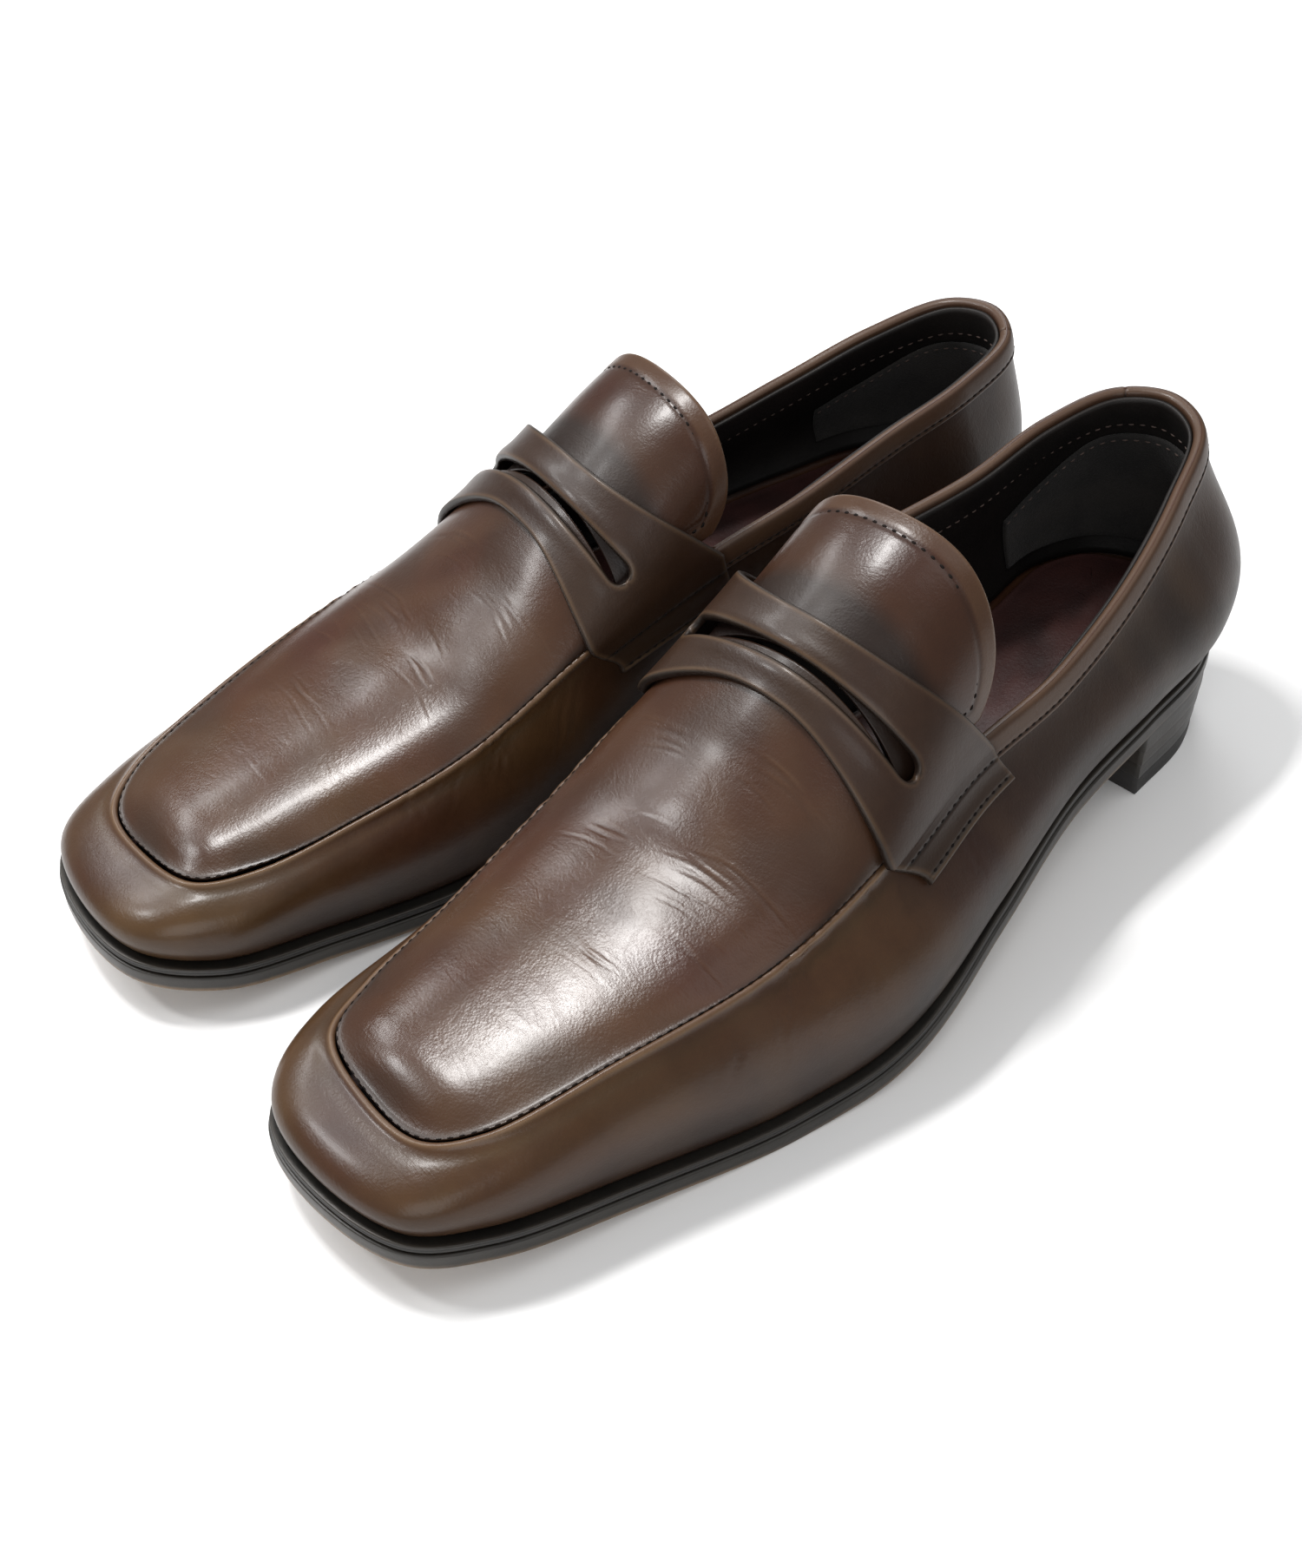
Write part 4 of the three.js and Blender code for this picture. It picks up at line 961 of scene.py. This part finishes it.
def add_tongue():
    p, n, y, ss = tongue_sheet(120, 150, 0.93, 1.0, UNDER + 0.2)
    border = np.concatenate([p[-1], p[:, 0], p[:, -1]])
    d = border_distance(p, border)
    groove = -0.16 * bell(d, TONGUE_STITCH_INSET, 0.7)
    rim = 0.08 * smooth(5.4, 3.4, d) * smooth(0.2, 1.2, d)
    swell = 0.16 * ripple(p[..., 0], y, 16, 61) + 0.03 * ripple(p[..., 0], y, 4, 62)
    outer = p + n * (groove + rim - rounded(d, 0.75) + swell * smooth(0, 4, d))[..., None]
    inner = p - n * (1.4 - rounded(d, 0.5) * 0.8)[..., None]
    blotch = 0.5 + 0.5 * ripple(p[..., 0], y, 13, 63)
    tone = np.zeros(p.shape)
    tone[..., 0] = 0.35 * bell(d, 0, 0.8) + 0.16 * smooth(5.2, 4.2, d) + 0.06 * blotch
    # Dark channel: even darker tone, darker in the stitch groove, and painted shadow of the strap over the front end
    # of the tongue.
    tone[..., 1] = 0.15 * bell(d, TONGUE_STITCH_INSET, 0.7) + 0.34 + 0.1 * blotch + 0.7 * smooth(12, 5, y)
    tone[..., 2] = 0.25 * blotch
    sheet("tongue", outer, inner, grid_faces(*ss.shape), CALF_TOP, tone, body="tongue_flap")
    # The stitches follow the groove: up one side, across the rear end and down the other side.
    lines = []
    for w in np.linspace(0.42, 1, 60):
        k = int(w * 119)
        lines.append((k, int(np.argmax(d[k, :75] > TONGUE_STITCH_INSET))))
    left = [(k, j) for k, j in lines if d[k, j] > TONGUE_STITCH_INSET - 0.1]
    rear = []
    for j in range(left[-1][1] + 2, 150 - left[-1][1] - 2, 2):
        rear.append((int(np.argmax((d[:, j] < TONGUE_STITCH_INSET) & (y[:, j] > 5))), j))
    right = [(k, 149 - j) for k, j in left[::-1]]
    path = [(k, j) for k, j in left + rear + right if y[k, j] > 3]
    line = np.array([outer[k, j] for k, j in path])
    for _ in range(3):
        line[1:-1] = (line[:-2] + 2 * line[1:-1] + line[2:]) / 4
    normal = np.array([n[k, j] for k, j in path])
    stitch_line("tongue_stitches", line, normal, 2.9, 0.3, THREAD, 2.0, body="tongue_flap")
    p, n, y, ss = tongue_sheet(60, 80, 0.92, 0.985, UNDER + 0.2 + 1.4 + 0.1)
    d = border_distance(p, np.concatenate([p[-1], p[:, 0], p[:, -1]]))
    outer = p - n * (rounded(d, 0.3) * 0.3)[..., None]
    inner = p - n * (0.95 - rounded(d, 0.4) * 0.6)[..., None]
    sheet("tongue_lining", outer, inner, grid_faces(*ss.shape), LINING, body="tongue_flap", slot="lining")


# ---------- strap ----------
def station_at(y, sign):
    lo = np.full(y.shape, 3.5 if sign > 0 else 18.5)
    hi = np.full(y.shape, 9.0 if sign > 0 else 13.0)
    for _ in range(22):
        mid = (lo + hi) / 2
        behind = edge(mid)[..., 1] > y
        lo, hi = np.where(behind, mid, lo), np.where(behind, hi, mid)
    return lo


def strap_base(a, y):
    """Surface under the strap: over the instep, and beyond its edge down the wall."""
    p = top(y, np.clip(a, -1, 1))
    for sign in (1, -1):
        m = a * sign > 1
        if m.any():
            u = station_at(y[m], sign)
            t = 1 - ((np.abs(a[m]) - 1) / 0.45) * 0.3
            p[m] = wall(u, t)
    return p


# Distances across the strap: 0 at the crest, 1 at the seam, TAB_MM millimetres for 1 on the tabs beyond it.
SLOT_END, TAB_END, TAB_MM = 0.74, 1.45, 32
TAB_ROWS = {"low": 1.385, "high": 1.135}


def strap_bands(count, cols):
    a = np.linspace(-TAB_END, TAB_END, count)
    s = np.abs(a)
    front = -16.2 - 3.2 * smooth(0.1, 0.8, s) + 9 * smooth(0.9, 1.45, s)
    rear = 0.7 + 23 * np.minimum(s, 1) ** 2.1 + 3 * smooth(1, 1.45, s)
    inside = np.minimum(s, SLOT_END)
    keep = 1 - smooth(SLOT_END, 1.2, s)
    lo = (-9.6 + 4.2 * inside**2) * keep + (front + (rear - front) * 0.36) * (1 - keep)
    hi = (-7.0 + 9.5 * inside**2) * keep + (front + (rear - front) * 0.64) * (1 - keep)
    mid, half = (lo + hi) / 2, (hi - lo) / 2
    turn = np.clip((s - (SLOT_END - 0.085)) / 0.085, 0, 1)
    half = half * np.sqrt(1 - turn**2)
    w = 0.5 - 0.5 * np.cos(np.linspace(0, math.pi, cols))
    w = 0.5 * w + 0.5 * np.linspace(0, 1, cols)
    y1 = front[:, None] + (mid - half - front)[:, None] * w
    y2 = (mid + half)[:, None] + (rear - mid - half)[:, None] * w
    return a, y1, y2, s >= SLOT_END


def add_strap():
    cols = 26
    a, y1, y2, joined = strap_bands(301, cols)
    y = np.concatenate([y1, y2], 1)
    aa = np.broadcast_to(a[:, None], y.shape).copy()
    base = strap_base(aa, y)
    # Directions for the normals come from the sheet itself, a little wider than one cell.
    da = np.gradient(base, axis=0)
    dy = strap_base(aa, y + 0.6) - strap_base(aa, y - 0.6)
    n = unit(np.cross(da, dy))
    for _ in range(6):
        n[1:-1] = unit(n[:-2] + 2 * n[1:-1] + n[2:])
    s = np.abs(aa)
    lift = 1.5 * GAP + 0.4 * smooth(0.85, 1, s) * (1 - smooth(1.1, 1.3, s))
    low = base + n * lift[..., None]
    width = 2 * cols
    slot_edge = np.concatenate([low[~joined][:, cols - 1], low[~joined][:, cols]])
    ds = border_distance(low, slot_edge)
    d = border_distance(low, np.concatenate([low[:, 0], low[:, -1], low[0], low[-1], slot_edge]))
    swell = 0.15 * ripple(base[..., 0], y, 12, 71) + 0.35 * bell(ds, 2.4, 2.2) * smooth(0.8, 0.5, s)
    groove = sum(-0.25 * bell((s - spot) * TAB_MM, 0, 0.6) for spot in TAB_ROWS.values())
    rim = 0.25 * bell((s - 1.42) * TAB_MM, 0, 0.9)
    high = low + n * (STRAP_T - rounded(d, 0.85) + (swell + groove + rim) * smooth(0.1, 1.2, d))[..., None]
    under = low + n * (rounded(d, 0.35) * 0.6)[..., None]
    index = np.arange(len(a) * width).reshape(len(a), width)
    index[joined, cols] = index[joined, cols - 1]
    quads = []
    for c0, c1 in ((0, cols), (cols, width)):
        b = index[:, c0:c1]
        quads.append(np.stack([b[:-1, :-1], b[1:, :-1], b[1:, 1:], b[:-1, 1:]], -1).reshape(-1, 4))
    blotch = 0.5 + 0.5 * ripple(base[..., 0], y, 10, 72)
    tone = np.zeros(low.shape)
    lip = bell(d, 0.9, 0.5)
    tone[..., 0] = 0.34 * lip * (0.5 + 0.5 * blotch) + 0.12 * blotch * smooth(1.0, 1.3, s)
    rows = sum(0.5 * bell((s - spot) * TAB_MM, 0, 0.5) for spot in TAB_ROWS.values())
    tone[..., 1] = 0.95 * smooth(0.9, 0.2, d) + rows + 0.58 + 0.2 * smooth(0.8, 1.2, s)
    tone[..., 2] = 0.3 * blotch
    # Underside of the strap painted near-black: painted shade under the strap.
    underside_shade_tone = tone.copy()
    underside_shade_tone[..., 1] = 0.9
    sheet("strap", high, under, np.vstack(quads), CALF, tone, underside_shade_tone)
    for sign, tag in ((1, "outer"), (-1, "inner")):
        for row, spot in TAB_ROWS.items():
            k = int(np.argmin(np.abs(a - sign * spot)))
            order = [j for j in np.argsort(y[k]) if d[k, j] > 1.3 and j != cols]
            stitch_line(f"tab_{tag}_{row}_stitches", high[k][order], n[k][order], 2.6, 0.27, THREAD, 1.8)


# ---------- topline binding ----------
BINDING_STITCH_DROP = 5.0


def add_binding():
    us = np.linspace(-5.6, 5.6, 2400)
    reach = us[edge(us)[:, 1] > 23.0]
    u = np.linspace(reach[0], reach[-1], 420)
    t, arc = wall_arc(u)
    up = unit(wall(u, 1.0) - wall(u, 0.985))
    y = edge(u)[:, 1]
    full = smooth(23.4, 26.5, y)

    def spot(depth, drop):
        td = np.array([np.interp(max(drop, 0), a, t) for a in arc])
        q = wall(u, td) - wall_normal(u, np.minimum(td, 0.985)) * np.broadcast_to(depth, u.shape)[:, None]
        return q + up * max(-drop, 0)

    pad = lambda k: -(0.12 + k * (0.22 + 0.55 * full))
    rows, tone = [], []

    def put(depth, drop, wear=0.0, dark=0.0):
        rows.append(spot(depth, drop))
        tone.append((wear, dark, 0.3))

    for drop, k in ((6.3, 0.1), (6.22, 0.45), (6.0, 0.72), (5.6, 0.84), (5.35, 0.8), (5.1, 0.55), (4.9, 0.55),
                    (4.65, 0.82), (4.2, 0.95), (3.4, 0.98), (2.5, 0.95), (1.6, 0.88), (0.8, 0.75)):
        put(pad(k), drop, 0.3 if drop > 6.1 else 0.06 + 0.05 * (drop < 2.6), 0.55 if 4.8 < drop < 5.4 else 0.05)
    for phi in np.radians([12, 30, 50, 70, 90, 110, 130, 150, 168]):
        put(1.1 - (1.55 + 0.1 * full) * math.cos(phi), 0.35 - 1.15 * math.sin(phi), 0.30 * math.sin(phi) ** 2)
    for drop, depth in ((0.9, 2.78), (1.8, 2.95), (2.8, 3.1), (3.6, 3.2), (4.1, 3.2), (4.4, 3.05), (4.5, 2.8)):
        put(depth, drop, 0.02, 0.3)
    for drop, depth in ((4.3, 2.6), (2.5, 2.5), (0.9, 2.4), (-0.2, 2.1), (-0.4, 1.0), (-0.2, 0.0), (0.8, -0.08),
                        (3, -0.08), (6.1, -0.08)):
        put(depth, drop)
    loop = np.stack(rows, 1)
    seam = bell(u, -0.82, 0.018)[:, None, None]
    centre = loop.mean(1, keepdims=True)
    loop = loop + (centre - loop) * 0.10 * seam
    paint = np.broadcast_to(np.array(tone)[None], loop.shape).copy()
    blotch = 0.5 + 0.5 * ripple(u * 20, u * 3, 12, 81)[:, None]
    paint[..., 0] *= 0.5 + 0.7 * blotch
    paint[..., 1] += 0.9 * seam[..., 0]
    f = grid_faces(len(u), loop.shape[1], loop_cols=True).tolist()
    m = loop.shape[1]
    f += [list(range(m))[::-1], [(len(u) - 1) * m + k for k in range(m)]]
    piece("topline_binding", loop.reshape(-1, 3), f, BINDING, ("topline_binding",), paint=paint.reshape(-1, 3))
    keep = full > 0.7
    line = spot(pad(0.62), BINDING_STITCH_DROP)[keep]
    td = t_down(u, BINDING_STITCH_DROP)
    stitch_line("binding_stitches", line, wall_normal(u, td)[keep], 2.7, 0.26, THREAD, 1.9)


# ---------- carried-over nodes ----------
def dress(node, material):
    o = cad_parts[node]
    if not o.material_slots:
        o.data.materials.append(material)
    for slot in o.material_slots:
        slot.link = "OBJECT"
        slot.material = material


add_bottom()
add_heel()
add_boards()
add_linings()
add_wall()
add_apron()
add_tongue()
add_strap()
add_binding()
for prefix in ("left", "right"):
    dress(f"{prefix}_cork_filler", CORK)
    dress(f"{prefix}_insole", BOARD)
    dress(f"{prefix}_shank", STEEL)


# ---------- studio ----------
def look_at(obj, target):
    obj.rotation_euler = (Vector(target) - obj.location).to_track_quat("-Z", "Y").to_euler()


def area(name, place, target, size, watts, size_y=None, tint=(1, 1, 1)):
    lamp = bpy.data.lights.new(name, "AREA")
    lamp.energy, lamp.size, lamp.color = watts, size, tint
    if size_y:
        lamp.shape, lamp.size_y = "RECTANGLE", size_y
    o = bpy.data.objects.new(name, lamp)
    o.location = place
    bpy.context.scene.collection.objects.link(o)
    look_at(o, target)


AIM = (0.0, 0.0, 0.05)
area("key_softbox", (-0.40, -0.13, 1.10), AIM, 0.25, 9.2, 0.11, (1.0, 0.99, 0.98))
area("instep_strip", (-0.56, -0.60, 0.86), AIM, 0.14, 3.2, 0.14)
area("tongue_strip", (-0.80, -0.26, 0.82), AIM, 0.38, 3.1, 0.12)
area("window_softbox", (-0.85, 0.85, 1.0), AIM, 0.6, 6, 0.9, (0.98, 0.99, 1.0))
area("front_fill", (0.9, -1.1, 0.9), AIM, 1.0, 8, 1.0)
area("ceiling", (0.5, 0.4, 1.7), AIM, 1.2, 6, 1.2)

world = bpy.data.worlds.new("studio")
world.use_nodes = True
world.node_tree.nodes["Background"].inputs[0].default_value = (1, 1, 1, 1)
world.node_tree.nodes["Background"].inputs[1].default_value = 0.36
bpy.context.scene.world = world

floor_mesh = bpy.data.meshes.new("floor")
floor_mesh.from_pydata([(-4, -4, 0), (4, -4, 0), (4, 4, 0), (-4, 4, 0)], [], [(0, 1, 2, 3)])
floor = bpy.data.objects.new("floor", floor_mesh)
bpy.context.scene.collection.objects.link(floor)
g = Graph("pale_floor")
floor_mesh.materials.append(g.done(g.mix(g.noise(3), (0.93, 0.93, 0.93), (0.95, 0.95, 0.95)), 0.7))

camera = bpy.data.objects.new("camera", bpy.data.cameras.new("camera"))
camera.data.lens = 45.5
camera.data.clip_start = 0.01
right, up, back = (0.62730, 0.77815, -0.03120), (-0.50087, 0.43380, 0.74897), (0.59635, -0.45420, 0.66187)
place = (0.31200, -0.24928, 0.36427)
camera.matrix_world = Matrix([[right[k], up[k], back[k], place[k]] for k in range(3)] + [[0, 0, 0, 1]])
bpy.context.scene.collection.objects.link(camera)
bpy.context.scene.camera = camera
bpy.context.scene.view_settings.view_transform = "Standard"
